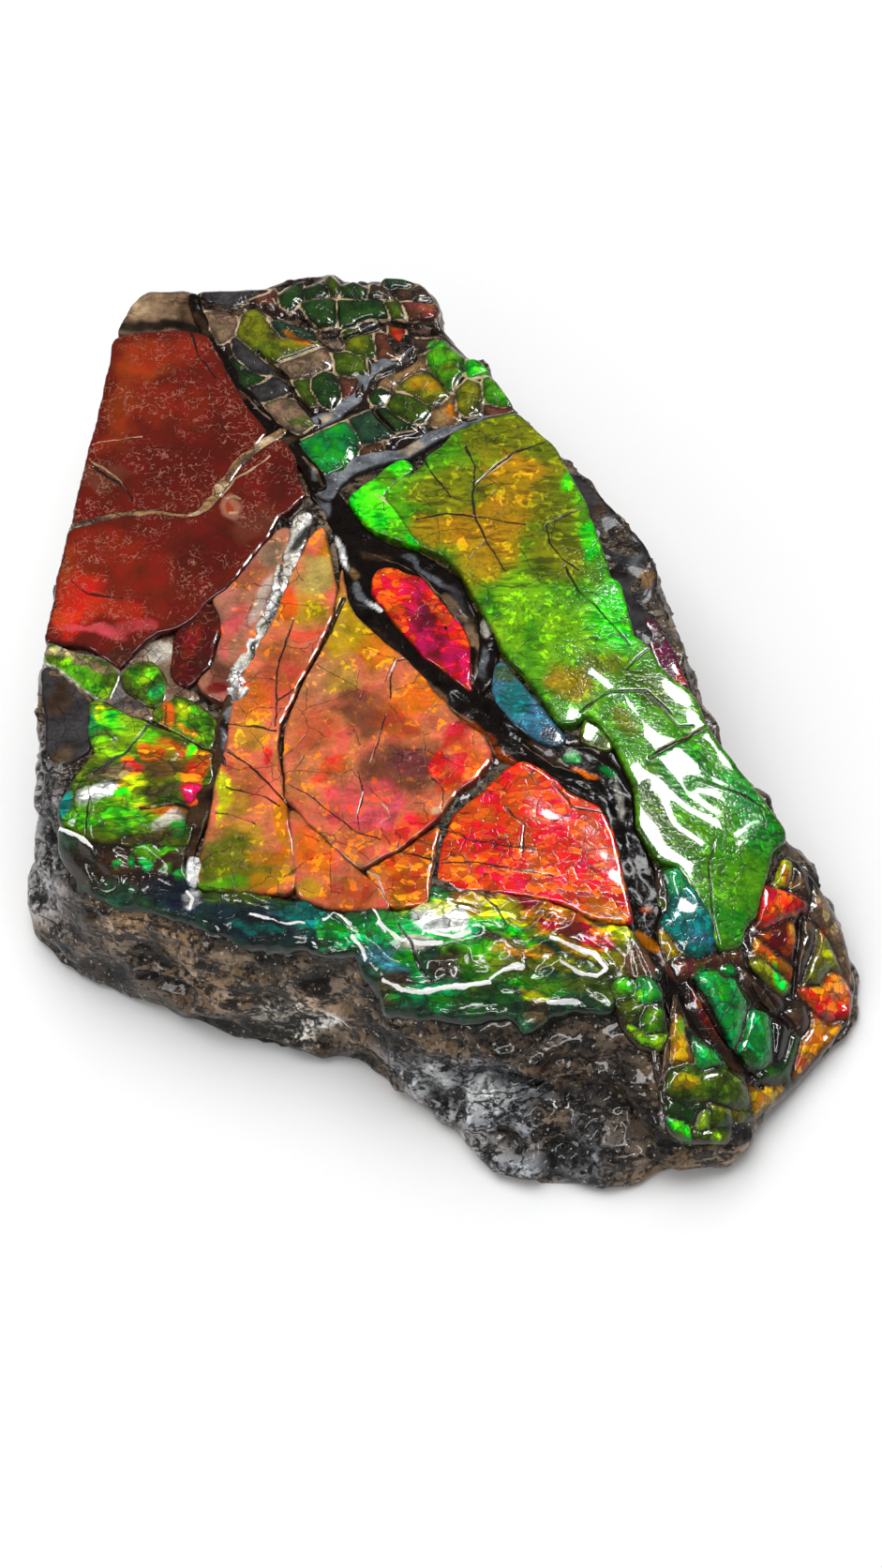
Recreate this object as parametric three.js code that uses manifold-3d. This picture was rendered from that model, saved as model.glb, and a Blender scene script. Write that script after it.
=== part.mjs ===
// Ammolite specimen: a loose slab of mudstone with the cracked, nacreous wall of an ammonite shell
// still on its upper face. One natural piece, so one solid. Millimetres, +Z up, origin at the centre
// of the underside, which is ground flat. The worn front edge, where the shell folds over, faces -Y.

import * as THREE from "three";
import { mergeVertices } from "three/addons/utils/BufferGeometryUtils.js";
import Module from "manifold-3d";

const wasm = await Module();
wasm.setup();

// ---- Driving dimensions ----

const SLAB_HEIGHT = 32; // from the table to the level part of the shell
const THIN_END_HEIGHT = 4; // least height, at the low right-hand end
const FALL_START = 2; // distance along FALL_ALONG where the upper face begins to fall
const FALL_LENGTH = 74; // distance over which it falls
const FALL_DEPTH = 27;
const FALL_POWER = 2.5;
const FALL_ALONG = { x: 0.9, y: -0.43 }; // unit direction of the fall, to the right and front
const ROLL_WIDTH = 20; // how far behind the front edge the shell begins to roll over
const ROLL_DEPTH = 7;

const GROUND_DROP = 1.5; // bare stone between the plates lies this far below their level
const PLATE_THICKNESS = 4; // plates are rooted this deep, into the stone
const RIM_DROP = 1; // the flank begins this far below the plate level
const GRID_STEP = 5; // spacing of the upper face's facets
const FOLD_STEP = 2.5; // the same on the folded band
const FOLD_HEIGHT = 0.6; // half height of its wrinkles
const FOLD_PITCH = 5.5;
const COLUMNS_PER_STATION = 3;
const LUMP = 1; // size of the knobs of broken stone on the flank
const LEAST_THICKNESS = 0.8;

const STONE_FINISH = { color: 0x55483a, roughness: 0.45, metalness: 0 };

// Front edge of the shell, left to right: the line that it rolls down to.
const FRONT_EDGE = [
  [-64, -24],
  [-55, -35],
  [-40, -41],
  [-24, -47],
  [-12, -53],
  [-6, -57],
  [12, -59],
  [21, -57],
  [28, -62],
  [33, -71],
  [44, -74],
  [66, -58],
];

// Stations around the slab, clockwise from the back left corner: [rim x, rim y, foot x, foot y, belly].
// The belly is how far the flank swells out between rim and foot.
const STATIONS = [
  [-54, 63, -53, 62.5, 0.6],
  [-52.5, 68.5, -51, 67.5, 0.6],
  [-46.5, 73.5, -46, 71.5, 0.5],
  [-35, 74, -35, 72, 0.8],
  [-28, 74.5, -28, 72.5, 0.4],
  [-21.5, 77, -21.5, 75, 0],
  [-14.5, 75, -14.5, 73, 0.6],
  [-8, 76.5, -8.5, 74.5, 0],
  [-2.5, 73.5, -3.5, 71.5, 0.5],
  [-0.5, 67, -1, 65.5, 0],
  [5, 59, 4, 58, 0.4],
  [11, 50.5, 11, 49, 0.8],
  [23, 34.5, 23.5, 33, 1.4],
  [32, 24, 33, 23.5, 1],
  [34, 17, 36, 17, 0],
  [36.5, 10, 39, 10, 0.8],
  [38.5, 0, 41.5, 1, 0.5],
  [46, -13, 49.5, -11.5, 0.6],
  [53.5, -21.5, 56, -20, 0.5],
  [58.5, -29, 60.5, -28, 0.4],
  [63, -35, 64, -34.5, 0.2],
  [65.5, -42, 66, -41.5, 0],
  [64, -48.5, 63.5, -48, 0.2],
  [56.5, -58, 56, -57, 0.3],
  [50, -66, 49, -65.5, 0.3],
  [44, -73, 43.5, -70.5, 0.5],
  [37, -74, 37, -72.5, 0.8],
  [33, -71, 32.5, -73.5, 0.8],
  [31, -65, 29.5, -75.5, 0.6],
  [26, -58, 25, -76.5, 0],
  [19, -56.5, 18.5, -76.5, 0],
  [12.5, -59.5, 12.5, -75.5, 0],
  [6, -58.5, 6, -70.5, 0.5],
  [0, -58, 0, -65, 0.8],
  [-8, -57, -8, -58.5, 1.2],
  [-12, -53, -12.5, -54, 0.8],
  [-15, -49, -17, -53, 0.8],
  [-23, -47.5, -23.5, -52.5, 1.5],
  [-33.5, -45, -33.5, -50, 1.2],
  [-44, -41, -44.5, -44.5, 1.5],
  [-53, -38.5, -56, -39.5, 1.5],
  [-59, -33.5, -63.5, -34, 0.3],
  [-62, -27, -66, -28, -0.8],
  [-63.5, -21, -65.5, -20.5, 0],
  [-62.5, -12, -63, -12, 1],
  [-63.5, -3, -62.5, -3, 0.8],
  [-62.5, 12, -61, 12, 0.8],
  [-60.5, 26, -59, 26, 0.6],
  [-57.5, 43.5, -56, 43.5, 0.8],
];

// Flank profile from rim to foot: the share of the height fallen and the share of the way out to the
// foot. The shelf at two fifths of the way down undercuts the upper ledge along the front.
const FLANK_PROFILE = [
  { down: 0, out: 0 },
  { down: 0.1, out: 0.2 },
  { down: 0.28, out: 0.34 },
  { down: 0.42, out: 0.27 },
  { down: 0.54, out: 0.5 },
  { down: 0.72, out: 0.84 },
  { down: 0.9, out: 1 },
  { down: 1, out: 0.97 },
];

// Shell plates. lift raises a plate from the common level, and tilt leans it (rise per mm along x, y).
const PLATES = {
  cap: {
    outline: [[-54, 64.5], [-52, 69.5], [-49, 73], [-43, 73], [-40.5, 68], [-40, 65]],
    lift: -0.6,
    tilt: [0, -0.05],
  },
  redUpper: {
    outline: [
      [-54.5, 63], [-45, 64.5], [-39, 63], [-35, 55], [-29, 44.5], [-33, 39.5], [-38.5, 30.5],
      [-41, 28.5], [-52, 29], [-60, 26.5], [-56.5, 49],
    ],
    lift: 0.1,
    tilt: [0, 0.01],
  },
  redLower: {
    outline: [
      [-60.5, 25], [-52, 27.5], [-40.5, 27.5], [-36, 31], [-30.5, 40], [-26, 42], [-24, 36],
      [-22.5, 32], [-28.5, 24], [-35, 14.5], [-42.5, 7], [-49, 3], [-51.5, -0.5], [-55.5, 3],
      [-63.5, 4.5],
    ],
    lift: 0.3,
    tilt: [0, 0.01],
  },
  redLobe: {
    outline: [[-37.5, 10], [-36, 6], [-37.5, 0], [-40.5, -4], [-43, -1.5], [-42.5, 6]],
    lift: -0.2,
    tilt: [-0.02, 0.02],
  },
  peach: {
    outline: [
      [-28.5, 23], [-37, 12], [-35, 5.5], [-37, -1], [-39, -3.5], [-37.5, -5.5], [-34.5, -7],
      [-30.5, 3.5], [-27.5, 15.5], [-23.5, 25], [-26, 26],
    ],
    lift: -0.2,
    tilt: [0.01, 0.01],
  },
  greenTip: {
    outline: [[-63, 3.5], [-57, 2], [-52, -2], [-53, -5], [-55, -5.5], [-60.5, -0.5], [-63, 0.5]],
    lift: -0.7,
    tilt: [0, 0.03],
  },
  greenChip: {
    outline: [[-51, -1.5], [-47, 0.5], [-44, -4.5], [-47, -7], [-49, -5.5]],
    lift: -0.6,
    tilt: [0.03, 0],
  },
  stoneWedge: {
    outline: [[-63.5, -1], [-56, -6.5], [-56.5, -16], [-61, -17], [-62.5, -12], [-63.5, -6]],
    lift: -0.9,
    tilt: [0, 0],
  },
  lime: {
    outline: [
      [-55.5, -7], [-54, -6.5], [-44, -12.5], [-36.5, -17], [-38, -23.5], [-41, -31], [-50.5, -30],
      [-58.5, -26], [-60.5, -24], [-60.5, -22.5], [-54.5, -15.5],
    ],
    lift: -0.7,
    tilt: [0.01, 0.01],
  },
  limeChip: {
    outline: [[-43, -6.5], [-38, -8], [-36, -10], [-35.5, -14], [-40, -13.5], [-45, -10]],
    lift: -0.5,
    tilt: [0, 0.02],
  },
  orangeLeft: {
    outline: [
      [-19.5, 26], [-17.5, 13.5], [-20, 4.5], [-24, -5.5], [-26.5, -16], [-25, -25.5], [-23, -37],
      [-23.5, -39.5], [-38.5, -37], [-36, -27.5], [-33.5, -9.5], [-31.5, -1.5], [-25.5, 13.5],
    ],
    lift: 0,
    tilt: [0.01, 0],
  },
  orangeMain: {
    outline: [
      [-16.5, 18], [-14, 9], [-6, 1], [0, -7.5], [6, -13], [7.5, -16], [5, -21], [-4, -31],
      [-13, -37], [-24.5, -25], [-25.5, -16], [-23.5, -6.5], [-17.5, 8.5],
    ],
    lift: 0.2,
    tilt: [0.005, 0],
  },
  orangeLow: {
    outline: [[-24, -26.5], [-13, -37.5], [-8.5, -43], [-16.5, -42.5], [-22.5, -40.5]],
    lift: 0.1,
    tilt: [0, 0],
  },
  amberFoot: {
    outline: [[-12, -37], [-6.5, -34.5], [-1, -29.5], [-2.5, -42.5], [-8, -43]],
    lift: -0.1,
    tilt: [0, 0],
  },
  scarlet: {
    outline: [
      [12.5, -17.5], [19.5, -22.5], [25.5, -26.5], [27, -32.5], [29.5, -43], [18.5, -41],
      [5, -40], [-1.5, -39.5], [0, -30.5], [3.5, -25.5], [8.5, -20.5],
    ],
    lift: -0.4,
    tilt: [0.01, 0],
  },
  lens: {
    outline: [
      [-10.5, 18], [-8.5, 18.5], [-3.5, 16.5], [0.5, 11], [4, 5], [4.5, -5], [-0.5, -1], [-8, 8.5],
      [-12, 13.5],
    ],
    lift: -0.5,
    tilt: [0, 0],
  },
  tealSliver: {
    outline: [[8, -1], [9, 1], [15.5, -8], [19, -13.5], [14.5, -13], [8, -5.5]],
    lift: -0.8,
    tilt: [0.02, 0],
  },
  greenMain: {
    outline: [
      [-4.5, 36], [1.5, 43.5], [12, 47.5], [18, 40.5], [24, 25], [26.5, 16], [28, 15], [30, 5.5],
      [34, 0.5], [39, -3.5], [45.5, -14], [53.5, -22.5], [54, -24], [50, -32], [49, -37],
      [46.5, -42.5], [43, -44], [42, -39.5], [36.5, -32.5], [33.5, -32], [30, -23.5], [28.5, -16],
      [22, -8.5], [18.5, -10.5], [10.5, 1], [3.5, 16], [-3.5, 22], [-7, 28.5], [-9.5, 31.5],
    ],
    lift: 0.7,
    tilt: [0, 0.005],
  },
  greenLobe: {
    outline: [[-15.5, 31.5], [-11, 35], [-6.5, 38.5], [-10, 32], [-7.5, 28.5], [-4, 22], [-11, 25.5]],
    lift: 0.4,
    tilt: [0.03, 0.02],
  },
  greenWedge: {
    outline: [[21.5, -13], [22, -10], [25, -9], [26.5, -12.5], [26, -14.5]],
    lift: -0.5,
    tilt: [0, 0],
  },
  emerald: {
    outline: [[-22, 42.5], [-16, 47], [-12, 48.5], [-9.5, 45.5], [-15, 39], [-19, 37.5]],
    lift: -0.4,
    tilt: [0, 0.02],
  },
  crackleBack: {
    outline: [
      [-27, 73.5], [-20, 77], [-15.5, 74.5], [-11, 74.5], [-7.5, 76], [-3, 72.5], [-0.5, 69.5],
      [-1, 67], [-9.5, 68], [-18, 64.5], [-25, 69.5],
    ],
    lift: 0.2,
    tilt: [0, 0.03],
  },
  crackleOlive: {
    outline: [[-34.5, 64.5], [-32, 69.5], [-27.5, 65.5], [-21, 62], [-26.5, 58.5]],
    lift: 0,
    tilt: [0.04, 0],
  },
  crackleBrown: {
    outline: [[-16, 64.5], [-10, 64], [-4, 66], [-2, 65], [-6, 59.5], [-13, 59]],
    lift: -0.3,
    tilt: [0, 0.03],
  },
  crackleMauve: {
    outline: [[-32.5, 53.5], [-29, 55.5], [-21, 47], [-26, 45.5], [-30, 49.5]],
    lift: -0.3,
    tilt: [0, 0],
  },
  crackleGrey: {
    outline: [[-35, 61], [-31.5, 61], [-20, 60], [-22, 54], [-32, 56]],
    lift: -0.6,
    tilt: [0.03, 0.02],
  },
  crackleStrip: {
    outline: [[-40.5, 72], [-35, 73.5], [-28.5, 73.5], [-25, 68.5], [-32, 70.5], [-38.5, 68.5]],
    lift: -0.5,
    tilt: [0, 0],
  },
  tileLeft: {
    outline: [[-11, 48.5], [-9.5, 53], [-5, 57], [-2.5, 57.5], [1, 51.5], [-5.5, 46.5]],
    lift: 0.2,
    tilt: [0, 0.03],
  },
  tileBack: {
    outline: [[-3, 60], [0.5, 62.5], [3.5, 58], [1.5, 53.5], [-2, 56.5]],
    lift: 0.1,
    tilt: [-0.03, 0],
  },
  tileRight: {
    outline: [[4, 59], [6, 59], [11, 50], [7, 49.5], [4, 56]],
    lift: 0.2,
    tilt: [0, 0.02],
  },
  tileFront: {
    outline: [[2, 53], [5.5, 54], [6.5, 48.5], [-0.5, 45.5], [-3.5, 47.5]],
    lift: 0,
    tilt: [0, 0.02],
  },
  tealFoot: {
    outline: [[33, -33.5], [36.5, -34], [41.5, -40], [42.5, -44.5], [38, -46], [34, -42]],
    lift: -0.2,
    tilt: [0, 0],
  },
  emeraldChipLeft: {
    outline: [[39, -49], [43, -48], [46.5, -50], [47.5, -52], [45, -57.5], [41, -54]],
    lift: 0.2,
    tilt: [0, 0],
  },
  emeraldChipRight: {
    outline: [[47.5, -53.5], [50, -52.5], [51.5, -57.5], [48.5, -59.5], [46, -58]],
    lift: 0.1,
    tilt: [0, 0],
  },
  forestChip: {
    outline: [[52, -53], [55.5, -54], [53, -61], [47.5, -62], [51.5, -59]],
    lift: 0,
    tilt: [0, 0],
  },
  emberUpper: {
    outline: [[50, -36], [52, -30], [54.5, -27.5], [58, -32], [55, -43], [51, -42.5], [49, -41]],
    lift: 0.2,
    tilt: [0, 0],
  },
  emberLower: {
    outline: [[57, -38.5], [61, -36], [65, -43], [64, -48.5], [55, -58.5], [57.5, -49.5], [56, -43]],
    lift: 0.4,
    tilt: [0, 0],
  },
  scaly: {
    outline: [
      [35, -57.5], [40.5, -60], [46, -63], [47.5, -66.5], [43.5, -72], [38, -73], [34, -68],
      [34.5, -61.5],
    ],
    lift: 0.2,
    tilt: [0, 0],
  },
  leafStrip: {
    outline: [[26, -52.5], [31.5, -52], [33, -53.5], [34, -59], [29, -58.5], [26, -55.5]],
    lift: 0,
    tilt: [0, 0],
  },
};

// The folded band along the front edge, wrinkled where the shell rolls over.
const FOLD_OUTLINE = [
  [-60, -26.5], [-50.5, -31], [-41, -32], [-39.5, -38], [-22.5, -41], [-8.5, -43.5], [5, -41],
  [18.5, -42], [29.5, -44], [33.5, -50.5], [25, -52.5], [25, -56], [16, -57], [12.5, -59.5],
  [3.5, -58.5], [-9, -56], [-14, -49.5], [-33.5, -44.5], [-46, -39.5], [-56.5, -35.5],
];

// ---- Upper face ----

/** The y of the front edge at a given x, by straight runs between its points. */
function frontEdgeAt(x) {
  const next = FRONT_EDGE.findIndex(([edgeX]) => edgeX > x);
  if (next === 0) return FRONT_EDGE[0][1];
  if (next < 0) return FRONT_EDGE.at(-1)[1];
  const [x0, y0] = FRONT_EDGE[next - 1];
  const [x1, y1] = FRONT_EDGE[next];
  return THREE.MathUtils.mapLinear(x, x0, x1, y0, y1);
}

/** Height of the common plate level: level at the back left, falling right and rolling over in front. */
function plateLevel(x, y) {
  const along = Math.max(FALL_ALONG.x * x + FALL_ALONG.y * y - FALL_START, 0);
  const fall = FALL_DEPTH * (along / FALL_LENGTH) ** FALL_POWER;
  const nearFront = THREE.MathUtils.clamp(1 - (y - frontEdgeAt(x)) / ROLL_WIDTH, 0, 1.2);
  const roll = ROLL_DEPTH * nearFront ** 2 * Math.max(0.35, 1 - fall / 30);
  return Math.max(SLAB_HEIGHT - fall - roll, THIN_END_HEIGHT);
}

/** Wrinkles that run along the front edge and wander a little. */
function foldHeight(x, y) {
  const across = y - frontEdgeAt(x) + 1.5 * Math.sin(x / 7);
  return FOLD_HEIGHT * Math.sin((2 * Math.PI * across) / FOLD_PITCH);
}

// ---- Solids ----

function toSolid(geometry) {
  const bare = geometry.clone();
  bare.deleteAttribute("normal");
  bare.deleteAttribute("uv");
  const merged = mergeVertices(bare, 1e-4);
  return new wasm.Manifold(
    new wasm.Mesh({
      numProp: 3,
      vertProperties: new Float32Array(merged.attributes.position.array),
      triVerts: new Uint32Array(merged.index.array),
    }),
  );
}

function toGeometry(solid) {
  const { vertProperties, triVerts } = solid.getMesh();
  const geometry = new THREE.BufferGeometry();
  geometry.setAttribute("position", new THREE.BufferAttribute(new Float32Array(vertProperties), 3));
  geometry.setIndex(new THREE.BufferAttribute(new Uint32Array(triVerts), 1));
  geometry.computeVertexNormals();
  return geometry;
}

function geometryFrom(positions, indices) {
  const geometry = new THREE.BufferGeometry();
  geometry.setAttribute("position", new THREE.Float32BufferAttribute(positions, 3));
  geometry.setIndex(indices);
  return geometry;
}

/** A slab between two height functions, over the whole grid cells that cover a plan rectangle. */
function heightSlab(topAt, bottomAt, bounds, step) {
  const x0 = Math.floor(bounds.min.x / step) * step;
  const y0 = Math.floor(bounds.min.y / step) * step;
  const columns = Math.ceil((bounds.max.x - x0) / step);
  const rows = Math.ceil((bounds.max.y - y0) / step);
  const positions = [];
  for (const heightAt of [topAt, bottomAt]) {
    for (let row = 0; row <= rows; row += 1) {
      for (let column = 0; column <= columns; column += 1) {
        const x = x0 + column * step;
        const y = y0 + row * step;
        positions.push(x, y, heightAt(x, y));
      }
    }
  }
  const width = columns + 1;
  const lower = width * (rows + 1);
  const indices = [];
  const quad = (a, b, c, d) => indices.push(a, b, c, a, c, d);
  for (let row = 0; row < rows; row += 1) {
    for (let column = 0; column < columns; column += 1) {
      const corner = row * width + column;
      quad(corner, corner + 1, corner + width + 1, corner + width);
      quad(lower + corner + width, lower + corner + width + 1, lower + corner + 1, lower + corner);
    }
  }
  for (let column = 0; column < columns; column += 1) {
    const back = rows * width + column;
    quad(lower + column, lower + column + 1, column + 1, column);
    quad(back, back + 1, lower + back + 1, lower + back);
  }
  for (let row = 0; row < rows; row += 1) {
    const left = row * width;
    const right = left + columns;
    quad(left, left + width, lower + left + width, lower + left);
    quad(lower + right, lower + right + width, right + width, right);
  }
  return toSolid(geometryFrom(positions, indices));
}

/** An outline in plan, drawn up into a prism that passes right through the slab. */
function prism(outline) {
  const points = outline.map(([x, y]) => new THREE.Vector2(x, y));
  const depth = 2 * SLAB_HEIGHT;
  return toSolid(new THREE.ExtrudeGeometry(new THREE.Shape(points), { depth, bevelEnabled: false }));
}

/** The part of a rooted layer under `topAt` that lies inside an outline. */
function layer(outline, topAt, step) {
  const bounds = new THREE.Box2().setFromPoints(outline.map(([x, y]) => new THREE.Vector2(x, y)));
  const bottomAt = (x, y) => Math.max(topAt(x, y) - PLATE_THICKNESS, LEAST_THICKNESS);
  return prism(outline).intersect(heightSlab(topAt, bottomAt, bounds, step));
}

function shellPlate({ outline, lift, tilt }) {
  const centre = new THREE.Vector2();
  outline.forEach(([x, y]) => centre.add(new THREE.Vector2(x, y).divideScalar(outline.length)));
  const topAt = (x, y) =>
    plateLevel(x, y) + lift + tilt[0] * (x - centre.x) + tilt[1] * (y - centre.y);
  return layer(outline, topAt, GRID_STEP);
}

function foldedBand() {
  return layer(FOLD_OUTLINE, (x, y) => plateLevel(x, y) + foldHeight(x, y), FOLD_STEP);
}

/** Broken-stone knobs on the flank, from a few waves that don't repeat together. */
function lumpAt(x, y, z) {
  const waves = Math.sin(0.31 * x + 0.47 * z) + Math.sin(0.37 * y - 0.29 * z + 1.3);
  return (LUMP * (waves + Math.sin(0.83 * (x - y) + 0.61 * z + 2.1))) / 2;
}

/** The flank as columns of points, each from above the rim down to the foot. */
function flankColumns() {
  const loop = (pick) => new THREE.CatmullRomCurve3(STATIONS.map(pick), true, "centripetal");
  const rim = loop(([x, y]) => new THREE.Vector3(x, y, 0));
  const foot = loop(([, , x, y, belly]) => new THREE.Vector3(x, y, belly));
  const count = STATIONS.length * COLUMNS_PER_STATION;
  return Array.from({ length: count }, (_, column) => {
    const share = column / count;
    const top = rim.getPoint(share);
    const base = foot.getPoint(share);
    const belly = base.z;
    const along = rim.getTangent(share);
    const outward = new THREE.Vector2(-along.y, along.x).normalize();
    const rimHeight = plateLevel(top.x, top.y) - RIM_DROP;
    const points = FLANK_PROFILE.map(({ down, out }) => {
      const height = rimHeight * (1 - down);
      const x = THREE.MathUtils.lerp(top.x, base.x, out);
      const y = THREE.MathUtils.lerp(top.y, base.y, out);
      const swell = Math.sin(Math.PI * down) * (belly + lumpAt(x, y, height));
      return [x + outward.x * swell, y + outward.y * swell, height];
    });
    return [[top.x, top.y, SLAB_HEIGHT + PLATE_THICKNESS], ...points];
  });
}

/** The mudstone body: the flank closed above and below, then cut down to the bare ground. */
function stoneBody() {
  const columns = flankColumns();
  const rings = columns[0].length;
  const positions = columns.flat(2);
  const indices = [];
  columns.forEach((_, column) => {
    const here = column * rings;
    const next = ((column + 1) % columns.length) * rings;
    for (let ring = 0; ring < rings - 1; ring += 1) {
      indices.push(here + ring, next + ring + 1, here + ring + 1);
      indices.push(here + ring, next + ring, next + ring + 1);
    }
  });
  for (const [ring, facingUp] of [[0, true], [rings - 1, false]]) {
    const outline = columns.map((column) => new THREE.Vector2(column[ring][0], column[ring][1]));
    for (const [a, b, c] of THREE.ShapeUtils.triangulateShape(outline, [])) {
      const turned = facingUp ? [a, b, c] : [a, c, b];
      indices.push(...turned.map((corner) => corner * rings + ring));
    }
  }
  const flank = toSolid(geometryFrom(positions, indices));
  const reach = new THREE.Box2(new THREE.Vector2(-75, -85), new THREE.Vector2(75, 85));
  const groundAt = (x, y) => plateLevel(x, y) - GROUND_DROP;
  return flank.intersect(heightSlab(groundAt, () => -1, reach, GRID_STEP));
}

function ammoliteSpecimen() {
  let solid = stoneBody().add(foldedBand());
  for (const plate of Object.values(PLATES)) solid = solid.add(shellPlate(plate));
  const mesh = new THREE.Mesh(toGeometry(solid), new THREE.MeshStandardMaterial(STONE_FINISH));
  mesh.name = "ammolite_specimen";
  return mesh;
}

const specimen = new THREE.Group();
specimen.add(ammoliteSpecimen());

export default specimen;
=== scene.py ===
"""Ammolite specimen: a slab of mudstone with cracked, iridescent ammonite shell on its upper face.

Lengths are millimetres in the specimen's own frame and become metres where a mesh is made.
"""

from __future__ import annotations

import logging
import math
from collections.abc import Sequence
from dataclasses import dataclass
from enum import Enum
from itertools import starmap

import bpy
import numpy as np
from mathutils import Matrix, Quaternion, Vector


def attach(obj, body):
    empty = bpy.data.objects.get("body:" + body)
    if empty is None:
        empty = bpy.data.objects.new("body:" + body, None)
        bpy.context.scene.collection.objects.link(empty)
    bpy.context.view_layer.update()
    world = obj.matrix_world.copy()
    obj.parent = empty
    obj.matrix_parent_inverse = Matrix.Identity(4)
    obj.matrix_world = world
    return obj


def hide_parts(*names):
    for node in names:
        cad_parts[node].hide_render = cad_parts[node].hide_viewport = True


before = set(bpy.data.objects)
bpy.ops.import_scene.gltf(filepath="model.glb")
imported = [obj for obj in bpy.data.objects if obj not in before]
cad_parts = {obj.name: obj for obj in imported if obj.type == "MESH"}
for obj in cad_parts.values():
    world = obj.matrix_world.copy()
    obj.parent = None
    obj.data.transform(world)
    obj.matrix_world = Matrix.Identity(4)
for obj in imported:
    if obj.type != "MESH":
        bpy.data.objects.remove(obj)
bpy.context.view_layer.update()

LOG = logging.getLogger("ammolite")
MM = 0.001
NODE = "ammolite_specimen"
BODY = "root"

Point = tuple[float, float]
Row = tuple[object, ...]
Array = np.ndarray
Piece = bpy.types.Object
Material = bpy.types.Material
Node = bpy.types.Node
Socket = bpy.types.NodeSocket


class Hue(Enum):
    """Colours of shell and stone, as sRGB values from 0 to 255."""

    OXBLOOD = (96, 24, 14)
    GARNET = (70, 14, 10)
    BRICK = (136, 40, 22)
    RUST = (150, 62, 34)
    BLAZE = (214, 44, 20)
    SCARLET = (232, 62, 30)
    CORAL = (226, 84, 62)
    CRIMSON = (214, 34, 56)
    MAGENTA = (196, 22, 78)
    PLUM = (92, 24, 52)
    ORANGE = (226, 108, 34)
    AMBER = (205, 120, 26)
    GOLD = (176, 124, 10)
    HONEY = (176, 146, 40)
    SALMON = (202, 112, 78)
    SIENNA = (158, 72, 38)
    COCOA = (98, 56, 40)
    OLIVE = (110, 112, 16)
    MOSS = (66, 88, 16)
    FOREST = (30, 60, 18)
    LEAF = (74, 150, 16)
    LIME = (142, 200, 20)
    LEMON = (206, 214, 44)
    NEON = (56, 226, 12)
    EMERALD = (18, 128, 52)
    JADE = (58, 176, 84)
    TEAL = (20, 104, 96)
    AZURE = (62, 112, 136)
    NAVY = (16, 24, 42)
    TAUPE = (128, 104, 82)
    CREAM = (204, 176, 140)
    BONE = (206, 200, 186)
    TAN = (150, 116, 78)
    UMBER = (52, 32, 20)
    PITCH = (18, 14, 12)
    SLATE = (58, 55, 56)
    ASH = (114, 118, 124)
    MUD = (82, 66, 48)
    BARK = (64, 47, 33)
    APRICOT = (206, 116, 82)
    STRAW = (182, 162, 88)
    FAWN = (170, 112, 90)
    ROSE = (206, 84, 88)
    # Chalk white also serves for painted highlights and glints.
    CHALK = (246, 245, 242)
    PINE = (34, 66, 44)

    @property
    def linear(self) -> Array:
        """The colour as scene-linear red, green and blue."""
        share = np.array(self.value) / 255.0
        return np.where(share <= 0.04045, share / 12.92, ((share + 0.055) / 1.055) ** 2.4)


class Marks(Enum):
    """What kind of marking a plate's surface shows."""

    WORMS = "worms"
    RIPPLES = "ripples"
    CLOUDS = "clouds"
    FLAKES = "flakes"
    FACETS = "facets"
    TILES = "tiles"
    FOLDS = "folds"
    STONY = "stony"
    CALCITE = "calcite"


# ---- Fields over the plan ----


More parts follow.
